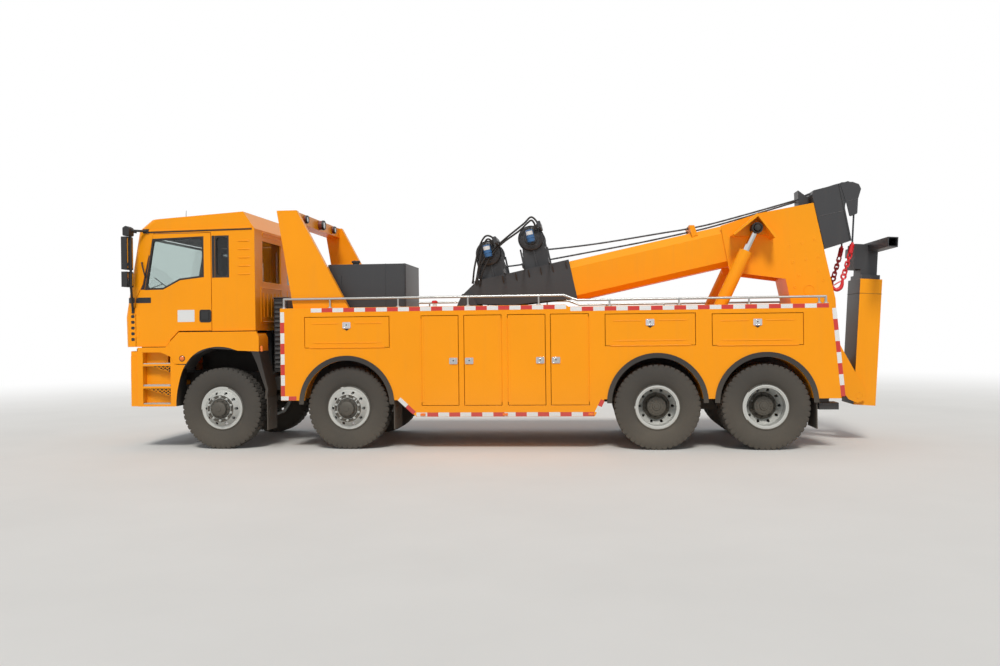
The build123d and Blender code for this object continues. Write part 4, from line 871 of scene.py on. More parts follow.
def latchShapes(x, z, side, wedged):
    # A chrome plate with a dished middle, a paddle in it and the lock's barrel; a black wedge may hang from the plate
    y = side * latch["y"]
    w, h = latch["width"] / 2, latch["height"] / 2
    outer = roundedOutline(rectangle(-w, w, -h, h), 0.012) + (x, z)
    inner = roundedOutline(rectangle(-w * 0.78, w * 0.78, -h * 0.74, h * 0.74), 0.014) + (x, z)
    paddle = roundedOutline(rectangle(-w * 0.52, w * 0.52, -h * 0.5, h * 0.62), 0.008) + (x, z)
    shapes = [(*sideRing(outer, inner, y, side * 0.004), 0)]
    shapes.append((*sidePlate(inner, y, side * 0.0012), 0))
    shapes.append((*sidePlate(paddle, y + side * 0.0012, side * 0.007), 0))
    shapes.append((*lathe([(0, 0), (0, 0.009), (0.005, 0.009), (0.005, 0)], (x, y + side * 0.008, z + h * 0.1),
                          (0, side, 0), 16), 1))
    if wedged:
        wedge = [(x - 0.035, z - h - 0.004), (x + 0.035, z - h - 0.004), (x, z - h - 0.030)]
        shapes.append((*sidePlate(wedge, side * bodyFace, side * 0.006), 1))
    return shapes


def makeDoorDetail(name, side, letter):
    middle, width, low, high, edge = doorTable[name]
    body = f"{name}_{letter}_leaf"
    if edge == "bottom":
        shapes = latchShapes(middle, high - latch["fromTop"], side, True)
        start, end = middle - width / 2 + bead["fromEdge"], middle + width / 2 - bead["fromEdge"]
        beads = []
        for z, first, last in ((high - bead["fromTop"], start, middle - bead["besideLatch"]),
                               (high - bead["fromTop"], middle + bead["besideLatch"], end),
                               (low + bead["fromFoot"], start, end)):
            count = bead["points"]
            path = np.stack([np.linspace(first, last, count), np.full(count, side * bead["y"]), np.full(count, z)], 1)
            size = np.full(count, bead["radius"])
            size[[0, -1]] = bead["end"]
            beads.append(carried(path, size, 10))
        makePiece(f"{name}_{letter}_beads", beads, body, paint("orangePaint"))
    else:
        way = 1 if edge == "rear" else -1
        shapes = latchShapes(middle + way * (width / 2 - latch["fromEdge"]), latch["doorZ"], side, False)
    makePiece(f"{name}_{letter}_latch", shapes, body, paint("chromePlate", "darkPlastic"), 0.001)


for name in doorTable:
    for side, letter in sides:
        makeDoorDetail(name, side, letter)
print("doors fitted")


# Cab's sides: window rubber, panes, handles, blank labels, drip rails and pressed ribs
cabHalfWidth = 1.200
cabFace = 1.2001    # just outside the cab's sides
doorBodies = {"l": "cab_door_left", "r": "cab_door_right"}
sideWindow = ((4.815, 2.935), (4.074, 2.955), (4.074, 2.388), (4.419, 2.350), (4.665, 2.225), (4.935, 2.222))
quarterWindow = rectangle(3.915, 3.712, 2.960, 2.378)


def windowRubber(corners, side, width, reach):
    # The band of rubber just inside an opening, its inner corners well rounded
    outer = roundedOutline(insetOutline(corners, 0.0006), 0.004, 6)
    inner = roundedOutline(insetOutline(corners, width), 0.045, 6)
    return sideRing(outer, inner, side * (cabHalfWidth - reach), side * (reach - 0.0015))


def makeWindows(side, letter):
    doorBody = doorBodies[letter]
    makePiece(f"doorRubber_{letter}", [windowRubber(sideWindow, side, 0.026, 0.040)], doorBody, paint("rubberTrim"),
              0.002)
    makePiece(f"quarterRubber_{letter}", [windowRubber(quarterWindow, side, 0.022, 0.040)], "cab",
              paint("rubberTrim"), 0.002)
    pane = insetOutline(sideWindow, 0.008)
    makePiece(f"doorPane_{letter}", [sidePlate(pane, side * 1.176, side * 0.005)], doorBody, paint("windowGlass"))


def makeDoorHandle(side, letter):
    # A dark dish with a paddle across it, and the blank white label ahead of it
    y = side * cabFace
    outer = roundedOutline(rectangle(4.144, 3.975, 1.762, 1.937), 0.028)
    inner = roundedOutline(rectangle(4.130, 3.989, 1.776, 1.923), 0.022)
    paddle = roundedOutline(rectangle(4.112, 4.012, 1.800, 1.902), 0.012)
    handle = [sideRing(outer, inner, y, side * 0.006), sidePlate(inner, y, side * 0.001),
              sidePlate(paddle, side * 1.2012, side * 0.009)]
    makePiece(f"doorHandle_{letter}", handle, doorBodies[letter], paint("darkPlastic"), 0.002)
    label = roundedOutline(rectangle(4.461, 4.217, 1.771, 1.937), 0.006, 3)
    makePiece(f"doorLabel_{letter}", [sidePlate(label, y, side * 0.0008)], doorBodies[letter], paint("labelWhite"))


def makeDripRail(side, letter):
    # The rail under the roof with a dark tube just under it as its painted shadow, and the pressed ribs behind the
    # quarter window
    path = smoothPath([(x, side * 1.2035, z) for x, z in ((4.900, 3.035), (4.792, 3.044), (3.380, 3.062))], 10)
    makePiece(f"dripRail_{letter}", [carried(path, 0.012, 10)], "cab", paint("orangePaint"))
    # a dark tube just under the rail: painted shadow
    shade = path + (0, -side * 0.001, -0.019)
    makePiece(f"dripRailShadow_{letter}", [carried(shade, 0.009, 8)], "cab", paint("rubberTrim"))
    ribs = []
    rear, front, steps = 3.395, 3.600, 14
    x = np.linspace(rear, front, steps)
    swell = 0.011 * np.clip(np.minimum(x - rear, front - x) / 0.04, 0.05, 1)
    for z in np.linspace(2.42, 2.88, 5):
        ribs.append(carried(np.stack([x, np.full(steps, side * 1.1985), np.full(steps, z)], 1), swell, 12))
    makePiece(f"pressedRibs_{letter}", ribs, "cab", paint("orangePaint"))


for side, letter in sides:
    for make in (makeWindows, makeDoorHandle, makeDripRail):
        make(side, letter)
print("cab sides fitted")


# Covers of the pillars and the cab's foot with dark strips of painted shade behind its joint, beads of the rear wall,
# arch panels, grille and air cleaner
cowl = {"low": 2.042, "high": 2.118, "frontX": 5.2012, "round": 0.090, "doorX": 5.083, "thick": 0.003}
rearWall = 3.3455    # the middle line of the beads on the cab's rear wall


def makePillarCovers(side, letter):
    # Black covers of the pillars and the cowl, blind slots at the grille's ends and the kerb mirror's head
    y = side * cabFace
    low, high, thick = cowl["low"], cowl["high"], cowl["thick"]

    def cover(outline, depth=0.003, radius=0.006):
        return sidePlate(roundedOutline(outline, radius, 3), y, side * depth)

    onDoor = [cover([(4.818, 2.925), (4.9575, 2.303), (4.993, 2.228), (4.9365, 2.228)]),
              cover([(4.845, low), (5.064, low), (5.064, 2.080), (5.046, high), (4.845, high)])]
    makePiece(f"doorCovers_{letter}", onDoor, doorBodies[letter], paint("darkPlastic"), 0.001)
    onCab = [cover(rectangle(3.9165, 3.9560, 2.378, 2.960))]
    turn = np.linspace(np.pi / 2, 0, 12)[:, None]
    middle = np.array((cowl["frontX"] - cowl["round"], side * (cabHalfWidth - cowl["round"])))
    arc = np.hstack([np.cos(turn), side * np.sin(turn)])
    outer = np.vstack([[(cowl["doorX"], y + side * thick)], middle + arc * (cowl["round"] + thick)])
    inner = np.vstack([[(cowl["doorX"], y - side * thick)], middle + arc * (cowl["round"] - thick)])
    onCab.append(prism(np.vstack([outer, inner[::-1]]), (0, 0, low), (1, 0, 0), (0, 1, 0), high - low))
    for z in np.linspace(1.535, 1.855, 5):
        onCab.append(cover(rectangle(5.088, 5.140, z - 0.021, z + 0.021), 0.001, 0.012))
    head = roundedOutline([(5.034, 2.962), (5.128, 2.962), (5.128, 3.075), (5.080, 3.100), (5.034, 3.070)], 0.02)
    onCab.append(sidePlate(head, side * 1.292, side * 0.136))
    makePiece(f"cabCovers_{letter}", onCab, "cab", paint("darkPlastic"), 0.001)


def makeRearBeads(side, letter):
    beads = []
    for low, high, inside, outside in ((1.760, 2.240, 0.140, 0.980), (2.970, 3.020, 0.140, 0.900)):
        loop = roundedOutline(rectangle(inside, outside, low, high), 0.022, 5)
        beads.append(carried(loopAt(loop, rearWall, side), 0.008, 10, closed=True))
    for y in np.linspace(0.26, 0.86, 5):
        beads.append(carried([(rearWall, side * y, 1.83), (rearWall, side * y, 2.17)], 0.008, 10))
    makePiece(f"rearBeads_{letter}", beads, "cab", paint("orangePaint"))


def makeFootGapShade(side, letter):
    # Dark strips stand behind the joint between the cab's foot and the panels below it, as painted shade in the gap
    sill = [(1.1245, 1.470), (1.1245, 1.4245), (1.1305, 1.4245), (1.1305, 1.409), (1.138, 1.409), (1.138, 1.470)]
    strips = [box((3.345, 4.300), sorted((side * 1.105, side * 1.140)), (1.612, 1.6405)),
              prism(sill, (4.660, 0, 0), (0, side, 0), (0, 0, 1), side * 0.360)]
    makePiece(f"footGapShade_{letter}", strips, "cab", paint("darkPlastic"), 0.001)


def makeStepPanels(side, letter):
    # The mudguard's upper edge follows the door's foot, and the steps' backs stand behind the treads
    gap = [(3.322, 1.6003), (3.322, 1.629), (4.434, 1.629), (4.552, 1.511), (4.629, 1.421), (5.036, 1.421),
           (5.036, 1.3503), (4.702, 1.3503), (4.562, 1.2905), (4.488, 1.146), (4.476, 1.380), (4.434, 1.474),
           (4.334, 1.6003)]
    panels = [sidePlate(gap, side * 1.233, -side * 0.045)]
    for rear, low, high in ((4.5605, 0.6305, 0.8495), (4.5605, 0.8805, 1.1595), (4.645, 1.1905, 1.419)):
        panels.append(box((rear, 4.9595), sorted((side * 1.085, side * 1.125)), (low, high)))
    makePiece(f"stepPanels_{letter}", panels, "chassis", paint("orangePaint"), 0.002)


def makeBumperLip(side, letter):
    # The lip round the bumper's top, and a dark wall behind its joint with the step unit as painted shade
    top = 1.3003
    lip = [(5.041, 1.198), (5.147, 1.198), (5.211, 1.059), (5.236, 0.620), (5.216, 0.620), (5.193, 1.053),
           (5.135, 1.180), (5.041, 1.180)]
    lip = [(x, side * y) for x, y in lip]
    makePiece(f"bumperLip_{letter}", [prism(lip, (0, 0, top), (1, 0, 0), (0, 1, 0), 0.069)], "chassis",
              paint("orangePaint"), 0.003)
    # the dark wall behind the joint is painted shade
    makePiece(f"bumperGapShade_{letter}", [box((5.036, 5.155), sorted((side * 1.0, side * 1.02)), (top, 1.404))],
              "chassis", paint("darkPlastic"))


# The first arch's edge in X and Z, from over the wheel forwards and down
archEdge = ((3.595, 1.366), (3.723, 1.4065), (3.870, 1.4225), (4.010, 1.407), (4.141, 1.3645), (4.245, 1.293),
            (4.334, 1.189), (4.380, 1.105), (4.414, 1.0125), (4.442, 0.905), (4.463, 0.800),
            (4.473, 0.720), (4.479, 0.650))
archSeam = 1.186    # the joint between the mudguard and the step unit


def makeArchPanels():
    # A thin panel gives the first wheel's arch its round edge, down over the joint with the step unit
    edge = smoothPath(archEdge, 6)
    upper = edge[edge[:, 1] > archSeam + 0.003]
    lower = edge[edge[:, 1] < archSeam - 0.003]
    guard = np.vstack([upper, [(4.513, 1.189), (4.522, 1.340), (4.548, 1.425), (4.594, 1.459), (4.550, 1.509),
                               (4.433, 1.626), (3.324, 1.626), (3.2885, 1.560), (3.2885, 1.352)]])
    flange = np.vstack([lower, [(4.485, 0.650), (4.513, 0.860), (4.513, 1.183)]])
    for side, letter in sides:
        plates = [sidePlate(outline, side * 1.2382, -side * 0.003) for outline in (guard, flange)]
        makePiece(f"archPanels_{letter}", plates, "chassis", paint("orangePaint"), 0.001)


def makeGrille():
    # A black panel across the cab's front with five slats, the lowest and highest shorter by the corner's curve
    def plate(low, high, half, x, depth, radius):
        outline = roundedOutline(rectangle(-half, half, low, high), radius)
        return frontPlate(outline, x, depth)

    shapes = [plate(1.480, 1.905, 0.800, 5.2290, 0.0135, 0.05)]
    makePiece("grillePanel", shapes, "cab", paint("darkPlastic"), 0.003)
    slats = [plate(z - 0.024, z + 0.024, 0.770 if 1.56 < z < 1.84 else 0.740, 5.2415, 0.009, 0.02)
             for z in np.linspace(1.535, 1.850, 5)]
    makePiece("grilleSlats", slats, "cab", paint("orangePaint"), 0.004)


intake = {"x": (3.030, 3.235), "outerY": 0.780, "top": 2.085, "lid": 0.008, "bladeHalf": 0.014}


def makeIntake():
    # The air cleaner's box stands on the frame behind the cab, with louvres on its outer end and a lid on top
    x, outer, top, lid, half = (intake[key] for key in ("x", "outerY", "top", "lid", "bladeHalf"))
    shapes = [box(x, (0.370, outer), (1.0403, 1.675)), box(x, (-0.360, outer), (1.665, top)),
              box((x[0] - lid, x[1] + lid), (-0.360 - lid, outer + lid), (top, 2.110))]
    makePiece("intakeBox", shapes, "chassis", paint("darkPlastic"), 0.012)
    louvres = []
    for z in np.linspace(1.12, 2.03, 15):
        blade = [(outer, z - half), (outer + half, z - half), (outer, z + 0.016)]
        louvres.append(frontPlate(blade, x[0] + 0.018, x[1] - x[0] - 0.036))
    for y in np.linspace(-0.28, 0.70, 13):
        louvres.append(box((x[1] - 0.001, x[1] + 0.008), (y - 0.012, y + 0.012), (1.72, 2.04)))
    louvres.append(carried(smoothPath([(3.13, -0.355, 1.90), (3.13, -0.50, 1.90), (3.15, -0.60, 1.82),
                                       (3.18, -0.62, 1.55), (3.20, -0.62, 1.08)], 8), 0.062, 20))
    makePiece("intakeLouvres", louvres, "chassis", paint("darkPlastic"), 0.0)


for side, letter in sides:
    for make in (makePillarCovers, makeRearBeads, makeFootGapShade, makeStepPanels, makeBumperLip):
        make(side, letter)
makeArchPanels()
makeGrille()
makeIntake()
print("cab covers fitted")


# Cab's front: screen rubber, wipers, headlamps, mirror panes, aerial, grips and side lamps
windscreen = {"low": (5.180, 2.200), "high": (5.035, 2.990), "halfWidth": 1.010}


def screenPoint(y, up, out=0.0):
    # A point of the windscreen's plane, with up from 0 at its foot to 1 at its top
    low, high = np.array(windscreen["low"]), np.array(windscreen["high"])
    x, z = low + (high - low) * up
    along = unit(high - low)
    return (x + along[1] * out, y, z - along[0] * out)


def makeScreenRubber():
    low, high = np.array(windscreen["low"]), np.array(windscreen["high"])
    height = float(np.linalg.norm(high - low))
    half = windscreen["halfWidth"] - 0.0006
    corners = rectangle(-half, half, 0.012, height - 0.001)
    inner = roundedOutline(insetOutline(corners, 0.035), 0.07)
    outer = roundedOutline(corners, 0.003)
    along = (high[0] - low[0], 0, high[1] - low[1])
    start = screenPoint(0, 0, -0.020)
    rubber = ringPrism(outer, inner, start, (0, 1, 0), along, 0.024)
    makePiece("screenRubber", [rubber], "cab", paint("rubberTrim"), 0.003)


def makeWipers():
    shapes = []
    for y, reach in ((0.80, -0.62), (0.05, -0.62)):
        foot, tip = screenPoint(y, -0.03, 0.012), screenPoint(y + reach, 0.20, 0.020)
        arm = smoothPath([foot, screenPoint(y - 0.05, 0.02, 0.030), tip], 8)
        shapes.append(carried(arm, np.linspace(0.010, 0.006, len(arm)), 8))
        shapes.append(lathe([(-0.015, 0), (-0.015, 0.022), (0.020, 0.020), (0.026, 0)], foot, (1, 0, 0.18), 20))
        blade = [screenPoint(y + reach - 0.30, 0.10, 0.010), tip, screenPoint(y + reach + 0.30, 0.30, 0.010)]
        shapes.append(carried(smoothPath(blade, 10), 0.0065, 8))
    makePiece("wipers", shapes, "cab", paint("darkPlastic"))


def makeHeadlamps():
    # Two round reflectors with bulbs behind a clear cover, and a turn lamp outboard, on each side
    for side, letter in sides:
        reflectors = []
        for y in (0.835, 0.965):
            bowl = [(0.0, 0.008), (-0.030, 0.024), (-0.018, 0.046), (0.0, 0.058), (0.004, 0.061), (0.004, 0.064),
                    (-0.004, 0.064), (-0.024, 0.050), (-0.038, 0.026), (-0.038, 0.0), (-0.030, 0.0)]
            bulb = [(-0.03, 0), (-0.03, 0.008), (-0.012, 0.010), (-0.004, 0.0)]
            reflectors.append((*lathe(bowl, (5.207, side * y, 1.03), (1, 0, 0), 40), 0))
            reflectors.append((*lathe(bulb, (5.207, side * y, 1.03), (1, 0, 0), 16), 1))
        back = roundedOutline(rectangle(side * 0.764, side * 1.076, 0.934, 1.126), 0.02)
        reflectors.append((*frontPlate(back, 5.166, 0.004), 2))
        turn = frontPlate(roundedOutline(rectangle(side * 1.036, side * 1.068, 0.95, 1.11), 0.01), 5.170, 0.03)
        makePiece(f"headlampInner_{letter}", reflectors, "chassis", paint("chromePlate", "lampClear", "darkPlastic"),
                  0.001)
        makePiece(f"headlampTurn_{letter}", [turn], "chassis", paint("lampAmber"), 0.002)
        makePiece(f"headlampCover_{letter}", [frontPlate(back, 5.2135, 0.003)], "chassis", paint("windowGlass"))


def makeMirrorPanes():
    panes = []
    for side in (1, -1):
        for low, high in ((2.512, 2.938), (2.272, 2.458)):
            corners = rectangle(side * 1.283, side * 1.437, low, high)
            pane = roundedOutline(corners, 0.03)
            panes.append(frontPlate(pane, 5.0597, -0.0015 * side))
    makePiece("mirrorPanes", panes, "cab", paint("mirrorGlass"))


def makeCabTrim():
    shapes = []
    aerial = smoothPath([(4.597, 0.60, 3.214), (4.597, 0.60, 3.30), (4.592, 0.60, 3.40)], 8)
    shapes.append(carried(aerial, np.linspace(0.006, 0.003, len(aerial)), 8))
    shapes.append(lathe([(-0.004, 0), (-0.004, 0.024), (0.018, 0.018), (0.032, 0.010), (0.034, 0)],
                        (4.597, 0.60, 3.214), (0, 0, 1), 20))
    for side, letter in sides:
        grip = smoothPath([(4.962, side * 1.198, 2.600), (4.955, side * 1.232, 2.590), (4.915, side * 1.232, 2.430),
                           (4.908, side * 1.198, 2.418)], 8)
        shapes.append(carried(grip, 0.009, 10))
        # the kerb mirror's cranked arm, from the roof's front
        arm = smoothPath([(5.060, side * 1.165, 3.030), (5.120, side * 1.230, 3.035), (5.105, side * 1.300, 2.990)], 8)
        shapes.append(carried(arm, 0.011, 10))
    makePiece("cabTrim", shapes, "cab", paint("darkPlastic"))
    for side, letter in sides:
        at, out = (4.387, side * guardFace, 1.264), (0, side, 0)
        lens = [lathe([(-0.002, 0), (-0.002, 0.033), (0.010, 0.031), (0.016, 0.022), (0.018, 0)], at, out, 28)]
        rim = [lathe([(-0.001, 0.0335), (0.008, 0.0345), (0.008, 0.040), (-0.001, 0.043)], at, out, 28, True)]
        makePiece(f"sideLamp_{letter}", lens, "chassis", paint("lampAmber"))
        makePiece(f"sideLampRim_{letter}", rim, "chassis", paint("darkPlastic"))


makeScreenRubber()
makeWipers()
makeHeadlamps()
makeMirrorPanes()
makeCabTrim()
print("cab front fitted")


# Steps: bright treads with rows of round holes, and diamond mesh in the wedges under the upper two, with dark plates
# of painted shade behind the mesh
stepWedges = (((4.850, 1.1575), (4.563, 1.1575), (4.590, 1.075)), ((4.941, 0.8475), (4.563, 0.8475), (4.563, 0.735)))
stepFace = {"outer": 1.232, "inner": 1.03, "back": 1.175, "x": (4.566, 4.954), "treadsZ": (1.187, 0.890, 0.632),
            "thick": 0.012, "lipDepth": 0.028, "lipThick": 0.006, "meshTurn": 35, "meshPitch": 0.034,
            "meshWidth": 0.007}


def insideRun(outline, point, way):
    # The part of an endless line that lies inside a convex outline, or None
    outline = np.asarray(outline)
    middle = outline.mean(axis=0)
    low, high = -9.0, 9.0
    for a, b in zip(outline, np.roll(outline, -1, axis=0)):
        normal = np.array((a[1] - b[1], b[0] - a[0]))
        normal = normal * np.sign(np.dot(middle - a, normal))
        rise, start = np.dot(way, normal), np.dot(point - a, normal)
        if rise > 1e-9:
            low = max(low, -start / rise)
        elif rise < -1e-9:
            high = min(high, -start / rise)
        elif start < 0:
            return None
    return (point + way * low, point + way * high) if high > low + 0.004 else None


def makeSteps():
    x = np.linspace(4.585, 4.935, 11)
    for side, letter in sides:
        outer = side * stepFace["outer"]
        treads = []
        for z in stepFace["treadsZ"]:
            treads.append(box(stepFace["x"], sorted((side * stepFace["inner"], outer)), (z, z + stepFace["thick"])))
            for row, y in enumerate(np.linspace(1.06, 1.205, 5)):
                for place in x[(row % 2)::2]:
                    treads.append(lathe([(0, 0.010), (0.004, 0.013), (0.004, 0.016), (0, 0.018)],
                                        (place, side * y, z + 0.0119), (0, 0, 1), 12, True))
            lip = sorted((outer - side * stepFace["lipThick"], outer))
            treads.append(box(stepFace["x"], lip, (z - stepFace["lipDepth"], z)))
        makePiece(f"stepTreads_{letter}", treads, "chassis", paint("stepMetal"), 0.0015)
        mesh, meshShadePlates = [], []
        for outline in stepWedges:
            # a dark plate behind each wedge's mesh: painted shade in its hollow
            meshShadePlates.append(sidePlate(insetOutline(outline, 0.002), side * stepFace["back"], side * 0.003))
            middle = np.mean(outline, axis=0)
            for turn in (stepFace["meshTurn"], -stepFace["meshTurn"]):
                way = np.array((math.cos(math.radians(turn)), math.sin(math.radians(turn))))
                across = np.array((-way[1], way[0]))
                for k in range(-9, 10):
                    run = insideRun(insetOutline(outline, 0.001), middle + across * k * stepFace["meshPitch"], way)
                    if run:
                        half = across * stepFace["meshWidth"] / 2
                        bar = [run[0] - half, run[1] - half, run[1] + half, run[0] + half]
                        mesh.append(sidePlate(bar, side * (stepFace["outer"] - 0.004),
                                              -side * (0.008 if turn > 0 else 0.007)))
        makePiece(f"stepMesh_{letter}", mesh, "chassis", paint("orangePaint"))
        makePiece(f"stepMeshShade_{letter}", meshShadePlates, "chassis", paint("darkPlastic"))


makeSteps()
print("steps made")


# Cab interior: seats, bunk, dashboard and steering wheel
def power(value, exponent):
    return np.sign(value) * np.abs(value) ** exponent


def placed(x, y, z, half, tilt, centre):
    # Points of a cushion of unit size: its sides drawn in a little, then scaled, tilted about Y and moved
    x, y = x * (1 - 0.03 * np.cos(np.pi * y / 2) ** 2), y * (1 - 0.03 * np.cos(np.pi * x / 2) ** 2)
    flat = np.stack([x * half[0], y * half[1], z], -1).reshape(-1, 3)
    c, s = math.cos(tilt), math.sin(tilt)
    turned = np.stack([flat[:, 0] * c + flat[:, 2] * s, flat[:, 1], flat[:, 2] * c - flat[:, 0] * s], 1)
    return turned + np.asarray(centre)


def cushion(centre, half, tilt=0.0, roundness=0.28, crown=0.10):
    # A rounded block whose every section is a superellipse, crowned on top and tilted about Y
    v = np.linspace(-np.pi / 2, np.pi / 2, 26)[:, None]
    u = np.linspace(0, 2 * np.pi, 56, endpoint=False)[None, :]
    x = power(np.cos(v), roundness) * power(np.cos(u), roundness)
    y = power(np.cos(v), roundness) * power(np.sin(u), roundness)
    z = power(np.sin(v), 0.6) * (1 - crown * (x ** 2 + y ** 2) / 2)
    return placed(x, y, z * half[2], half, tilt, centre), gridFaces(26, 56, False, True)


def cushionSeam(centre, half, tilt=0.0, roundness=0.28):
    # The piping round a cushion's middle
    u = np.linspace(0, 2 * np.pi, 64, endpoint=False)
    x, y = power(np.cos(u), roundness), power(np.sin(u), roundness)
    return carried(placed(x, y, np.zeros(64), half, tilt, centre), 0.005, 8, closed=True)


seatY = 0.520
bunk = {"centre": (3.620, 0, 1.985), "half": (0.215, 1.075, 0.068), "roundness": 0.16}
steering = {"hub": (4.600, 0.520, 2.200), "column": (-0.66, 0, 0.75), "rim": 0.205, "grip": 0.015}


def makeInterior():
    parts = []
    for side, letter in sides:
        y = side * seatY
        soft = [((4.205, y, 2.020), (0.250, 0.238, 0.060), 0.0), ((3.995, y, 2.400), (0.330, 0.232, 0.058), 1.72),
                ((3.930, y, 2.785), (0.085, 0.130, 0.045), 1.72)]
        pad = makePiece(f"seatPads_{letter}", [cushion(*item) for item in soft], "cab", paint("seatCloth"),
                        clean=False)
        parts.append(pad)
        frameShapes = [cushionSeam(*item) for item in soft]
        frameShapes.append(box((4.085, 4.325), (y - 0.175, y + 0.175), (1.696, 1.900)))
        frameShapes.append(box((4.000, 4.420), (y - 0.21, y + 0.21), (1.900, 1.962)))
        for post in (-0.05, 0.05):
            frameShapes.append(carried([(3.948, y + post, 2.70), (3.936, y + post, 2.76)], 0.006, 8))
        parts.append(makePiece(f"seatFrame_{letter}", frameShapes, "cab", paint("darkPlastic"), 0.004))
    bed = makePiece("bunkPad", [cushion(**bunk, crown=0.06)], "cab", paint("seatCloth"), clean=False)
    parts.append(bed)
    base = [box((3.402, 3.838), (-1.079, 1.079), (1.696, 1.922)), cushionSeam(**bunk)]
    parts.append(makePiece("bunkBase", base, "cab", paint("trimGrey"), 0.006))
    dash = [(5.124, 1.690), (5.124, 2.120), (4.935, 2.165), (4.800, 2.165), (4.735, 2.115), (4.722, 2.000),
            (4.900, 1.752)]
    shapes = [sidePlate(dash, 1.080, -2.160)]
    hood = roundedOutline([(4.74, 2.12), (4.90, 2.16), (4.88, 2.235), (4.79, 2.235)], 0.02)
    shapes.append(sidePlate(hood, 0.74, -0.44))
    shapes.append(box((4.852, 5.098), (-0.149, 0.149), (1.486, 1.799)))
    for y in (-0.8, -0.35, 0.05):
        shapes.append(box((4.742, 4.760), (y - 0.09, y + 0.09), (2.035, 2.095)))
    parts.append(makePiece("dashboard", shapes, "cab", paint("trimGrey"), 0.008))
    # the wheel's rim lies at right angles to its column
    column, hub = unit(steering["column"]), np.array(steering["hub"])
    side, other = crossAxes(column)
    angle = np.linspace(0, 2 * np.pi, 48, endpoint=False)[:, None]
    rim = hub + steering["rim"] * (np.cos(angle) * side + np.sin(angle) * other)
    shapes = [carried(rim, steering["grip"], 12, closed=True)]
    for turn in (0.3, 2.84, 4.71):
        out = math.cos(turn) * side + math.sin(turn) * other
        shapes.append(carried([hub + out * 0.03, hub + out * 0.12 + column * 0.006, hub + out * 0.203], 0.012, 8))
    shapes.append(lathe([(-0.03, 0), (-0.03, 0.055), (0.012, 0.060), (0.022, 0.045), (0.024, 0)], hub, column, 32))
    shapes.append(carried([hub - column * 0.02, hub - column * 0.24], 0.034, 16))
    parts.append(makePiece("steeringWheel", shapes, "cab", paint("darkPlastic")))
    for part in parts:
        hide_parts("cab_interior")


makeInterior()
print("interior made")


# Boom: winches, hoses, ropes and their bracket, weld marks, hoods, hooks, the head's plates and the mast's seam
ropeForm = {"radius": 0.0115, "around": 18, "lobes": 6, "depth": 0.10, "pitch": 0.16}
winches = {
    # drum's middle in u and w, and the Y at which its rope leaves
    "front": (0.436, 0.575, -0.09), "rear": (1.080, 0.645, 0.09),
}


def makeWinch(name):
    u, w = winches[name][:2]
    middle = boomPoint(u, w)
    turns, drumHalf, drumRadius = 26, 0.223, 0.121
    across = np.linspace(-drumHalf, drumHalf, turns * 6 + 1)
    wound = 0.146 + 0.0085 * np.abs(np.sin(np.pi * turns * (across + drumHalf) / (2 * drumHalf)))
    profile = [(-drumHalf, drumRadius)] + list(zip(across, wound)) + [(drumHalf, drumRadius)]
    makePiece(f"ropeOnDrum_{name}", [lathe(profile, middle, (0, 1, 0), 56, True)], "boom_assembly", paint("ropeSteel"))
    body, motor, labels = [], [], []
    for side in (1, -1):
        face = middle + (0, side * 0.2505, 0)
        out = (0, side, 0)
        body.append(lathe([(0, 0), (0, 0.172), (0.012, 0.176), (0.040, 0.170), (0.052, 0.150), (0.058, 0.095),
                           (0.080, 0.088), (0.080, 0)], face, out, 48))
        body.append(nuts(face + (0, side * 0.051, 0), out, 0.128, 14, 0.018, 0.010))
        body.append(lathe([(0.0, 0.178), (0.006, 0.180), (0.006, 0.190), (0.0, 0.190)], face, out, 56, True))
    # motor: a can that stands across the gear's middle, on the left
    foot = boomPoint(u, w - 0.066, 0.367)
    up = boomUp
    motor.append(lathe([(0, 0), (0.004, 0.044), (0.014, 0.054), (0.058, 0.0575), (0.062, 0.062), (0.076, 0.062),
                        (0.080, 0.0575), (0.172, 0.0575), (0.180, 0.050), (0.184, 0)], foot, up, 40))
    body.append(lathe([(0.180, 0), (0.180, 0.040), (0.196, 0.036), (0.200, 0)], foot, up, 24))
    body.append(lathe([(0.0, 0), (0.0, 0.050), (0.05, 0.046), (0.05, 0)], middle + (0, 0.310, 0), (0, 1, 0), 32))
    side, other = crossAxes(up)
    band = np.linspace(-0.9, 0.9, 13) + math.atan2(np.dot((0, 1, 0), other), np.dot((0, 1, 0), side))
    ring = np.cos(band)[:, None] * side + np.sin(band)[:, None] * other
    low, high = foot + up * 0.108 + ring * 0.0578, foot + up * 0.162 + ring * 0.0578
    lowOut, highOut = foot + up * 0.108 + ring * 0.0590, foot + up * 0.162 + ring * 0.0590
    labels.append((np.vstack([low, high, highOut, lowOut]), gridFaces(4, 13, True, False)
                   + [[0, 13, 26, 39], [12, 25, 38, 51]]))
    makePiece(f"winchBody_{name}", body, "boom_assembly", paint("blackGear"), 0.0015)
    makePiece(f"winchMotor_{name}", motor, "boom_assembly", paint("motorBlue"))
    makePiece(f"winchLabel_{name}", labels, "boom_assembly", paint("labelWhite"))
    # stand: feet, a cross plate and a cap bar between the side plates
    stand = []
    for y in (-0.262, 0.262):
        for du in (-0.185, 0.0, 0.185):
            rib = rectangle(-0.012, 0.012, 0.0, 0.30)
            stand.append(boomPlate(rib, boomPoint(u + du, 0.226, y - 0.012), 0.024))
    for du in (-0.19, 0.178):
        plate = rectangle(0, 0.012, 0, 0.070)
        stand.append(boomPlate(plate, boomPoint(u + du, 0.226, 0.224), 0.448))
    bar = roundedOutline(rectangle(0.150, 0.195, 0.070, 0.160), 0.01)
    stand.append(boomPlate(bar, boomPoint(u, w, 0.262), 0.524))
    makePiece(f"winchStand_{name}", stand, "boom_assembly", paint("blackGear"), 0.002)


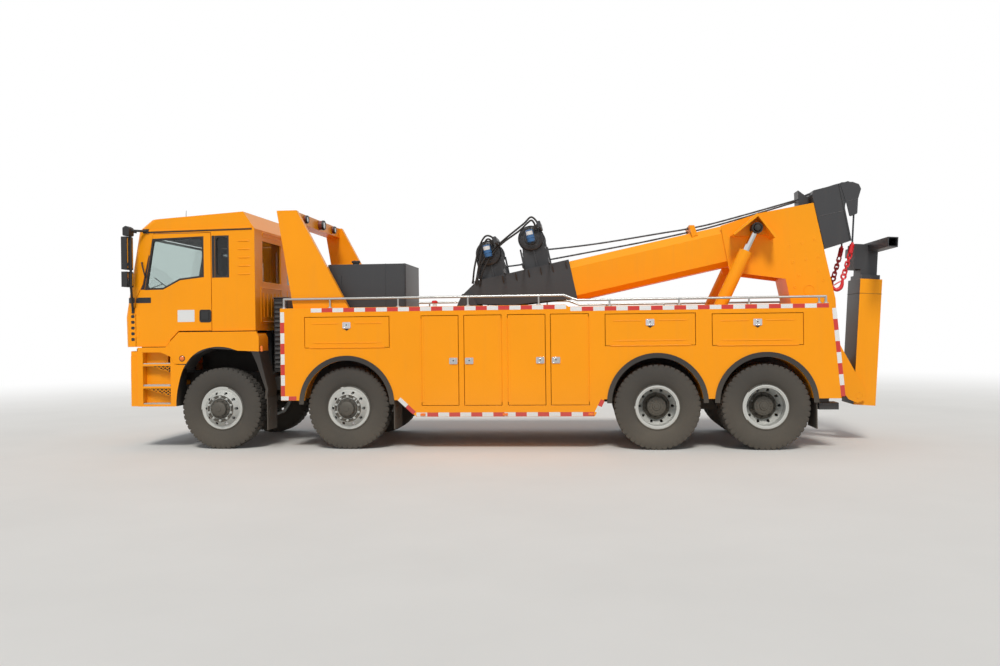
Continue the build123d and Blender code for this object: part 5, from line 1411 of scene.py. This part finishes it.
def makeWinchBase():
    # The flange that overhangs each side plate, with gussets under it
    shapes = []
    for side in (1, -1):
        lip = [(-0.055, 0.052), (0.200, 0.2045), (1.538, 0.2045), (1.538, 0.226), (0.195, 0.226), (-0.060, 0.072)]
        shapes.append(boomPlate(lip, boomPoint(0, 0, side * 0.3392), -side * 0.068))
        for u in (0.561, 0.754, 0.941, 1.116, 1.288, 1.487):
            web = [(side * y, w) for y, w in ((0.3394, 0.204), (0.405, 0.204), (0.347, 0.100), (0.3394, 0.100))]
            shapes.append(crossPlate(web, u, 0.012))
    makePiece("winchBaseFlange", shapes, "boom_assembly", paint("blackGear"), 0.002)


def makeHoses():
    rear = [(-0.470, 0.362, 3.050), (-0.474, 0.370, 3.105), (-0.430, 0.375, 3.165), (-0.365, 0.370, 3.125),
            (-0.250, 0.365, 3.020), (0.010, 0.365, 2.835), (0.180, 0.365, 2.640), (0.290, 0.360, 2.430),
            (0.330, 0.350, 2.250)]
    second = [(-0.500, 0.345, 3.050), (-0.505, 0.345, 3.140), (-0.420, 0.345, 3.215), (-0.310, 0.345, 3.120),
              (-0.060, 0.350, 2.925), (0.130, 0.350, 2.760), (0.300, 0.350, 2.560), (0.370, 0.350, 2.280)]
    front = [(0.155, 0.362, 2.845), (0.160, 0.380, 2.895), (0.215, 0.385, 2.905), (0.270, 0.380, 2.800),
             (0.330, 0.372, 2.560), (0.380, 0.355, 2.300)]
    low = [(0.130, 0.345, 2.840), (0.140, 0.345, 2.935), (0.240, 0.345, 2.955), (0.330, 0.345, 2.800),
           (0.400, 0.345, 2.520), (0.430, 0.345, 2.280)]
    shapes = []
    for line in (rear, second, front, low):
        shapes.append(carried(smoothPath(line, 10), 0.0135, 12))
        for point, nextPoint in ((line[0], line[1]), (line[-1], line[-2])):
            shapes.append(lathe([(-0.004, 0), (-0.004, 0.019), (0.030, 0.019), (0.034, 0.016), (0.060, 0.0158),
                                 (0.060, 0)], point, np.subtract(nextPoint, point), 6))
    makePiece("winchHoses", shapes, "boom_assembly", paint("rubberTrim"))


# The ropes' ways between drum and guide block, in u and w
ropeWays = {
    "front": [(0.580, 0.372), (0.900, 0.338), (1.300, 0.318), (1.800, 0.296), (2.600, 0.262), (3.290, 0.250),
              (3.756, 0.256), (4.850, 0.325)],
    "rear": [(1.381, 0.4405), (2.030, 0.370), (2.896, 0.3116), (3.290, 0.2861), (3.756, 0.281), (4.850, 0.335)],
}


def makeRopes():
    # Each rope runs from its drum over the boom to the guide block, over its own sheave and down to the ferrule
    for name, side in (("front", -1), ("rear", 1)):
        u, w, y = winches[name]
        start = (u + 0.02, w - 0.155)
        points = [boomPoint(*start, y)] + [boomPoint(a, b, y) for a, b in ropeWays[name]]
        points += [boomPoint(5.02, 0.372, side * 0.115), boomPoint(5.36, 0.400, side * 0.235)]
        sheaveU, sheaveW = boom["sheave"]
        reach = boom["ropeReach"]
        for angle in (100, 75, 50, 25, 0, -15):
            a = math.radians(angle)
            points.append(boomPoint(sheaveU + reach * math.cos(a), sheaveW + reach * math.sin(a),
                                    side * boom["sheaveY"]))
        path = smoothPath(points, 26)
        rope = makePiece(f"rope_{name}", [carried(path, **ropeForm)], None,
                         paint("ropeSteel"), clean=False, angle=60)
        mouth, head = tuple(boomPoint(4.87, 0.33)), tuple(boomPoint(5.10, 0.33))
        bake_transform(rope, "boom_assembly", "inner_boom", start=mouth, end=head)
        top, ferrule = points[-1], boom["ferruleTop"]
        foot = np.array((ferrule[0], side * boom["sheaveY"], ferrule[1] - 0.02))
        fall = np.linspace(top, foot, 60)
        drop = makePiece(f"ropeFall_{name}", [carried(fall, **ropeForm)], None,
                         paint("ropeSteel"), clean=False, angle=60)
        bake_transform(drop, "inner_boom", "boom_assembly", start=tuple(top), end=tuple(foot))


def makeRopeBracket():
    # A plate across the boom's top with two side webs, and an eye in it for each rope
    at, width = 3.300, 0.085
    outline = [(-0.305, 0.135), (-0.232, 0.208), (0.232, 0.208), (0.305, 0.135), (0.305, 0.215), (0.262, 0.318),
               (-0.262, 0.318), (-0.305, 0.215)]
    shapes = [crossPlate(outline, at, 0.014)]
    for y in (-0.275, 0.275):
        side = [(0, 0.150), (width, 0.150), (width * 0.8, 0.300), (0, 0.316)]
        shapes.append(boomPlate(side, boomPoint(at, 0, y + 0.006), 0.012))
    makePiece("ropeBracket", shapes, "boom_assembly", paint("orangeGear"), 0.002)
    ring = [(-0.008, 0.0125), (-0.004, 0.024), (0.018, 0.024), (0.022, 0.0125)]
    rings = [lathe(ring, boomPoint(at, w, y), boomBack, 24, True) for w, y in ((0.2855, 0.09), (0.2500, -0.09))]
    makePiece("ropeEyes", rings, "boom_assembly", paint("castBlack"))


def makeHoods():
    # The band bent over each lift cylinder's upper end, and the head of the pin that carries it
    band = [(3.801, 0.026), (4.178, 0.236), (4.371, -0.136), (4.330, -0.150), (4.180, 0.190), (3.815, 0.010)]
    for side, letter in sides:
        edge = boomPlate(band, boomPoint(0, 0, side * 0.6495), side * 0.0215)
        makePiece(f"hoodEdge_{letter}", [edge], "boom_assembly", paint("orangeGear"), 0.002)
        head = lathe([(0, 0), (0, 0.0298), (0.006, 0.0298), (0.006, 0.044), (0.020, 0.044), (0.024, 0.038),
                      (0.024, 0)], boomPoint(*boom["liftPin"], side * 0.6455), (0, side, 0), 32)
        makePiece(f"hoodPin_{letter}", [head], "boom_assembly", paint("castBlack"), 0.001)


def ringLink(middle, along, across, length, width, wire):
    # One link of a chain, a closed line with round ends
    turn = np.linspace(0, 2 * np.pi, 28, endpoint=False)[:, None]
    straight = (length - width) / 2
    forth = np.cos(turn) * width / 2 + np.sign(np.cos(turn)) * straight
    path = middle + along * forth + across * np.sin(turn) * width / 2
    return carried(path, wire, 8, closed=True)


def makeHooks():
    # A ferrule, chain and forged hook under each sheave, the hook's bowl against the column
    for side, letter in sides:
        y = side * boom["sheaveY"]
        topX, topZ = boom["ferruleTop"]
        top, low, chainEnd = np.array((topX, y, topZ)), np.array((-4.850, y, 2.600)), np.array((-4.762, y, 2.305))
        shapes = [lathe([(-0.03, 0), (-0.03, 0.016), (-0.005, 0.022), (0.0, 0.033), (0.118, 0.033), (0.130, 0.024),
                         (0.138, 0.0)], top, low - top, 28)]
        way = unit(chainEnd - low)
        flat = np.array((0.0, 1.0, 0.0))
        other = np.cross(flat, way)
        for k in range(5):
            centre = low + way * (0.026 + 0.058 * k)
            shapes.append(ringLink(centre, way, flat if k % 2 else other, 0.084, 0.050, 0.0112))
        eye = chainEnd + way * 0.012
        shapes.append(ringLink(eye, way, other, 0.066, 0.060, 0.0135))
        spine = smoothPath([eye + way * 0.028, (-4.744, y, 2.232), (-4.738, y, 2.180), (-4.716, y, 2.136),
                            (-4.676, y, 2.112), (-4.640, y, 2.118), (-4.620, y, 2.146), (-4.618, y, 2.176)], 8)
        swell = np.interp(np.linspace(0, 1, len(spine)), [0, 0.15, 0.4, 0.6, 0.8, 0.92, 1.0],
                          [0.016, 0.020, 0.028, 0.028, 0.019, 0.014, 0.006])
        shapes.append(carried(spine, swell, 16))
        shapes.append(carried([(-4.733, y, 2.235), (-4.690, y, 2.212), (-4.630, y, 2.176)], 0.009, 8))
        piece = makePiece(f"hookChain_{letter}", shapes, "boom_assembly", paint("redPaint"))
        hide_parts("hooks")


def makeHeadPlates():
    # The bend of the head's side plates, the flange at their rear edge, and the housings over the sheaves; thin
    # lighter grey lines along the bends are painted highlights
    shapes, foldHighlights = [], []
    for side, letter in sides:
        groove = [(-0.030, 0.0305), (-0.030, 0.104), (-0.025, 0.107), (-0.013, 0.089), (-0.006, 0.0855),
                  (0.006, 0.0855), (0.013, 0.089), (0.025, 0.107), (0.030, 0.104), (0.030, 0.0305)]
        sheave = lathe(groove, boomPoint(*boom["sheave"], side * boom["sheaveY"]), (0, 1, 0), 64, True)
        makePiece(f"sheave_{letter}", [sheave], "inner_boom", paint("castBlack"))
        y = side * 0.3302
        # a thin lighter grey line along the side plate's bend: painted highlight
        foldHighlights.append(carried([boomPoint(5.05, 0.024, y), boomPoint(5.39, 0.019, y)], 0.004, 8))
        flange = [(5.378, -0.405), (5.399, -0.404), (5.419, 0.398), (5.400, 0.398)]
        shapes.append(boomPlate(flange, boomPoint(0, 0, y), side * 0.010))
        housing = [(5.423, 0.418), (5.594, 0.384), (5.669, 0.334), (5.683, 0.263), (5.614, 0.138), (5.559, -0.059),
                   (5.445, -0.079), (5.445, 0.131)]
        shapes.append(boomPlate(roundedOutline(housing, 0.02, 4), boomPoint(0, 0, side * 0.3183), side * 0.006))
        # a thin lighter grey line along the housing's fold: painted highlight
        fold = [boomPoint(5.453, 0.138, side * 0.3245), boomPoint(5.61, 0.139, side * 0.3245)]
        foldHighlights.append(carried(fold, 0.003, 8))
    makePiece("headPlates", shapes, "inner_boom", paint("blackGear"), 0.002)
    makePiece("headFoldHighlights", foldHighlights, "inner_boom", paint("trimGrey"))


mast = {"foot": (-4.930, 0.640), "lean": math.radians(3.6), "seamHeight": 1.418}


def makeMastSeam():
    # The welded seam round the mast's upper end
    (footX, footZ), b = mast["foot"], mast["seamHeight"]
    c, s = math.cos(mast["lean"]), math.sin(mast["lean"])
    corners = [(footX + a * c - b * s, y, footZ + a * s + b * c)
               for a, y in rectangle(-0.2405, 0.0555, -0.3005, 0.3005)]
    makePiece("mastSeam", [carried(corners, 0.0035, 8, closed=True)], "underlift", paint("castBlack"))


def makeWeldMarks():
    # Plug welds on both faces of the boom's head, a little proud with a sunk middle
    marks = [(4.912, -0.274), (4.742, -0.285), (4.564, -0.288), (4.912, -0.522), (4.740, -0.520), (4.561, -0.517),
             (4.876, -0.710), (4.603, -0.718), (4.906, -0.851), (4.515, -0.863), (4.670, -1.000)]
    shapes = []
    for side in (1, -1):
        for u, w in marks:
            shapes.append(lathe([(-0.001, 0), (-0.001, 0.024), (0.004, 0.020), (0.005, 0.012), (0.002, 0.006),
                                 (0.0015, 0)], boomPoint(u, w, side * 0.350), (0, side, 0), 20))
        shapes.append(lathe([(-0.001, 0.066), (0.005, 0.069), (0.005, 0.075), (-0.001, 0.078)],
                            boomPoint(4.690, -0.950, side * 0.350), (0, side, 0), 40, True))
        seam = [boomPoint(3.722, w, side * 0.3306) for w in np.linspace(0.09, -0.29, 40)]
        shapes.append(carried(seam, 0.0035 + 0.0008 * np.sin(np.arange(40) * 1.7), 8))
    makePiece("weldMarks", shapes, "boom_assembly", paint("orangeGear"))


for name in winches:
    makeWinch(name)
makeWinchBase()
makeHoses()
makeRopes()
makeRopeBracket()
makeWeldMarks()
makeHoods()
makeHooks()
makeHeadPlates()
makeMastSeam()
print("boom fitted")


# Deck: the tank's seams, filler and gauge, the valve and its cap, rail feet and the gantry's lamps
tank = {"seamsX": (1.300, 1.560, 2.350), "filler": (2.050, 0.700), "top": 2.545, "capRadius": 0.058, "grips": 18}


def makeTankDetail():
    shapes = []
    for x in tank["seamsX"]:
        loop = roundedOutline(rectangle(0.012, 0.998, 1.9355, 2.5395), 0.02)
        shapes.append(carried(loopAt(loop, x), 0.006, 8, closed=True))
    shapes.append(lathe([(0, 0.0455), (0.030, 0.0455), (0.036, 0.058), (0.062, 0.058), (0.066, 0.050), (0.066, 0)],
                        (*tank["filler"], tank["top"]), (0, 0, 1), 36))
    fillerX, fillerY = tank["filler"]
    for k in range(tank["grips"]):
        a = 2 * math.pi * k / tank["grips"]
        x, y = fillerX + tank["capRadius"] * math.cos(a), fillerY + tank["capRadius"] * math.sin(a)
        shapes.append(carried([(x, y, 2.583), (x, y, 2.606)], 0.0035, 6))
    gauge = roundedOutline(rectangle(2.18, 2.24, 2.08, 2.40), 0.012)
    shapes.append(sidePlate(gauge, 0.999, 0.012))
    makePiece("tankDetail", shapes, "chassis", paint("blackGear"), 0.0)


def makeDeckValve():
    base = (0.900, 0.860, 1.9352)
    post = [(0, 0), (0, 0.045), (0.010, 0.045), (0.012, 0.028), (0.055, 0.028), (0.060, 0)]
    body = [lathe(post, base, (0, 0, 1), 24)]
    cap = [lathe([(0.056, 0), (0.056, 0.038), (0.066, 0.042), (0.084, 0.038), (0.092, 0.020), (0.094, 0)], base,
                 (0, 0, 1), 28)]
    makePiece("deckValve", body, "chassis", paint("labelWhite"))
    makePiece("deckValveCap", cap, "chassis", paint("redPaint"))


# the deck is a little lower behind its step
deck = {"postsX": (2.932, 2.285, 1.341, 0.388, -0.564, -1.503, -2.410, -3.308, -4.197, -4.280), "railY": 1.215,
        "stepX": -0.96, "high": 1.935, "low": 1.905}


def makeRailFeet():
    foot = [(0.0002, 0), (0.0002, 0.034), (0.008, 0.032), (0.010, 0.021), (0.018, 0.019), (0.018, 0)]
    shapes = []
    for side in (1, -1):
        for x in deck["postsX"]:
            z = deck["high"] if x > deck["stepX"] else deck["low"]
            shapes.append(lathe(foot, (x, side * deck["railY"], z), (0, 0, 1), 24))
    makePiece("railFeet", shapes, "chassis", paint("steelBright"))


gantry = {"x": 2.790, "lampsY": (0.7, -0.7)}


def makeGantryLamps():
    # Two round lamps and a larger one between them, each a rim and a lens
    shapes = []
    for y in gantry["lampsY"]:
        centre = (gantry["x"] - 0.0405, y, 3.215)
        shapes.append((*lathe([(-0.002, 0.040), (0.010, 0.046), (0.010, 0.056), (-0.012, 0.060), (-0.016, 0.055)],
                              centre, (-1, 0, 0), 36, True), 0))
        shapes.append((*lathe([(0.0, 0), (0.0, 0.041), (0.006, 0.036), (0.009, 0.018), (0.010, 0)], centre,
                              (-1, 0, 0), 32), 1))
    centre = (gantry["x"] - 0.0705, 0, 3.210)
    shapes.append((*lathe([(-0.002, 0.052), (0.012, 0.060), (0.012, 0.071), (-0.014, 0.075), (-0.018, 0.069)],
                          centre, (-1, 0, 0), 40, True), 0))
    lens = [(0.0, 0), (0.0, 0.053), (0.008, 0.046), (0.012, 0.022), (0.013, 0)]
    shapes.append((*lathe(lens, centre, (-1, 0, 0), 36), 1))
    makePiece("gantryLampRims", shapes, "chassis", paint("darkPlastic", "lampClear"))


makeTankDetail()
makeDeckValve()
makeRailFeet()
makeGantryLamps()
print("deck fitted")


# Marker lamps of the mudguards and sills, and the pressed marks of the mud flaps
def makeSmallLamps():
    lens, marks = [], []
    for side in (1, -1):
        outline = roundedOutline(rectangle(3.232, 3.262, 1.352, 1.425), 0.008)
        lens.append(sidePlate(outline, side * guardFace, side * 0.014))
        for x in (1.010, -0.105, -1.243):
            bar = roundedOutline(rectangle(x - 0.035, x + 0.035, 0.462, 0.497), 0.008)
            lens.append(sidePlate(bar, side * 1.2512, side * 0.010))
        for x in (3.170, 1.405, -4.150):
            loop = roundedOutline(rectangle(0.93, 1.18, 0.40, 0.58), 0.085, 8)
            back = x - 0.0005 if x > 3 else x - 0.0075
            marks.append(carried(loopAt(loop, back, side), 0.005, 8, closed=True))
    makePiece("markerLamps", lens, "chassis", paint("lampAmber"), 0.002)
    makePiece("flapMarks", marks, "chassis", paint("rubberTrim"))


makeSmallLamps()
print("small lamps fitted")


# Floor, light and background
floorReach = 90
fadeRun = (8.0, 24.0)    # distances over which the floor's colour goes over to the background's white
# the suns' names, directions to them, strengths and angles across
suns = (("key", (-0.02, 0.80, 0.95), 2.05, 14), ("fill", (0.9, -0.5, 0.6), 0.10, 60))


def makeStudio():
    scene = bpy.context.scene
    scene.view_settings.view_transform = "Standard"
    floorMesh = bpy.data.meshes.new("floor")
    corners = [(x, y, 0) for x, y in rectangle(-floorReach, floorReach, -floorReach, floorReach)]
    floorMesh.from_pydata(corners, [], [(0, 1, 2, 3)])
    newObject("floor", floorMesh)
    material, tree, given = newMaterial("paleFloor", {"Roughness": 0.85})
    where = tree.nodes.new("ShaderNodeTexCoord").outputs["Object"]
    patches = noise(tree, where, 0.6, 6.0)
    tree.links.new(blendColour(tree, patches, linear(214, 213, 210), linear(226, 225, 222)), given["Base Color"])
    far = put(tree, "ShaderNodeVectorMath", {0: where}, operation="LENGTH").outputs["Value"]
    fade = put(tree, "ShaderNodeMapRange", {"Value": far, "From Min": fadeRun[0], "From Max": fadeRun[1]},
               interpolation_type="SMOOTHSTEP").outputs["Result"]
    seen = tree.nodes.new("ShaderNodeLightPath").outputs["Is Camera Ray"]
    mix = put(tree, "ShaderNodeMixShader", {0: maths(tree, "MULTIPLY", fade, seen),
                                            1: tree.nodes["Principled BSDF"].outputs[0],
                                            2: tree.nodes.new("ShaderNodeEmission").outputs[0]})
    tree.links.new(mix.outputs[0], tree.nodes["Material Output"].inputs[0])
    floorMesh.materials.append(material)

    world = bpy.data.worlds.new("studio")
    scene.world = world
    world.use_nodes = True
    tree = world.node_tree
    tree.nodes.clear()
    path = tree.nodes.new("ShaderNodeLightPath").outputs
    seen = maths(tree, "MAXIMUM", path["Is Camera Ray"], maths(tree, "MAXIMUM", path["Is Glossy Ray"],
                                                               path["Is Transmission Ray"]))
    soft = put(tree, "ShaderNodeBackground", {"Color": (0.90, 0.94, 1.0, 1), "Strength": 0.42})
    white = put(tree, "ShaderNodeBackground", {"Color": (1, 1, 1, 1), "Strength": 1.0})
    mix = put(tree, "ShaderNodeMixShader", {0: seen, 1: soft.outputs[0], 2: white.outputs[0]})
    tree.links.new(mix.outputs[0], tree.nodes.new("ShaderNodeOutputWorld").inputs[0])

    for name, toLight, strength, spreadAngle in suns:
        sun = bpy.data.lights.new(name, "SUN")
        sun.energy = strength
        sun.angle = math.radians(spreadAngle)
        sun.color = (1.0, 0.97, 0.92)
        newObject(name, sun).rotation_euler = Vector(toLight).to_track_quat("Z", "Y").to_euler()


makeStudio()
print("studio made")
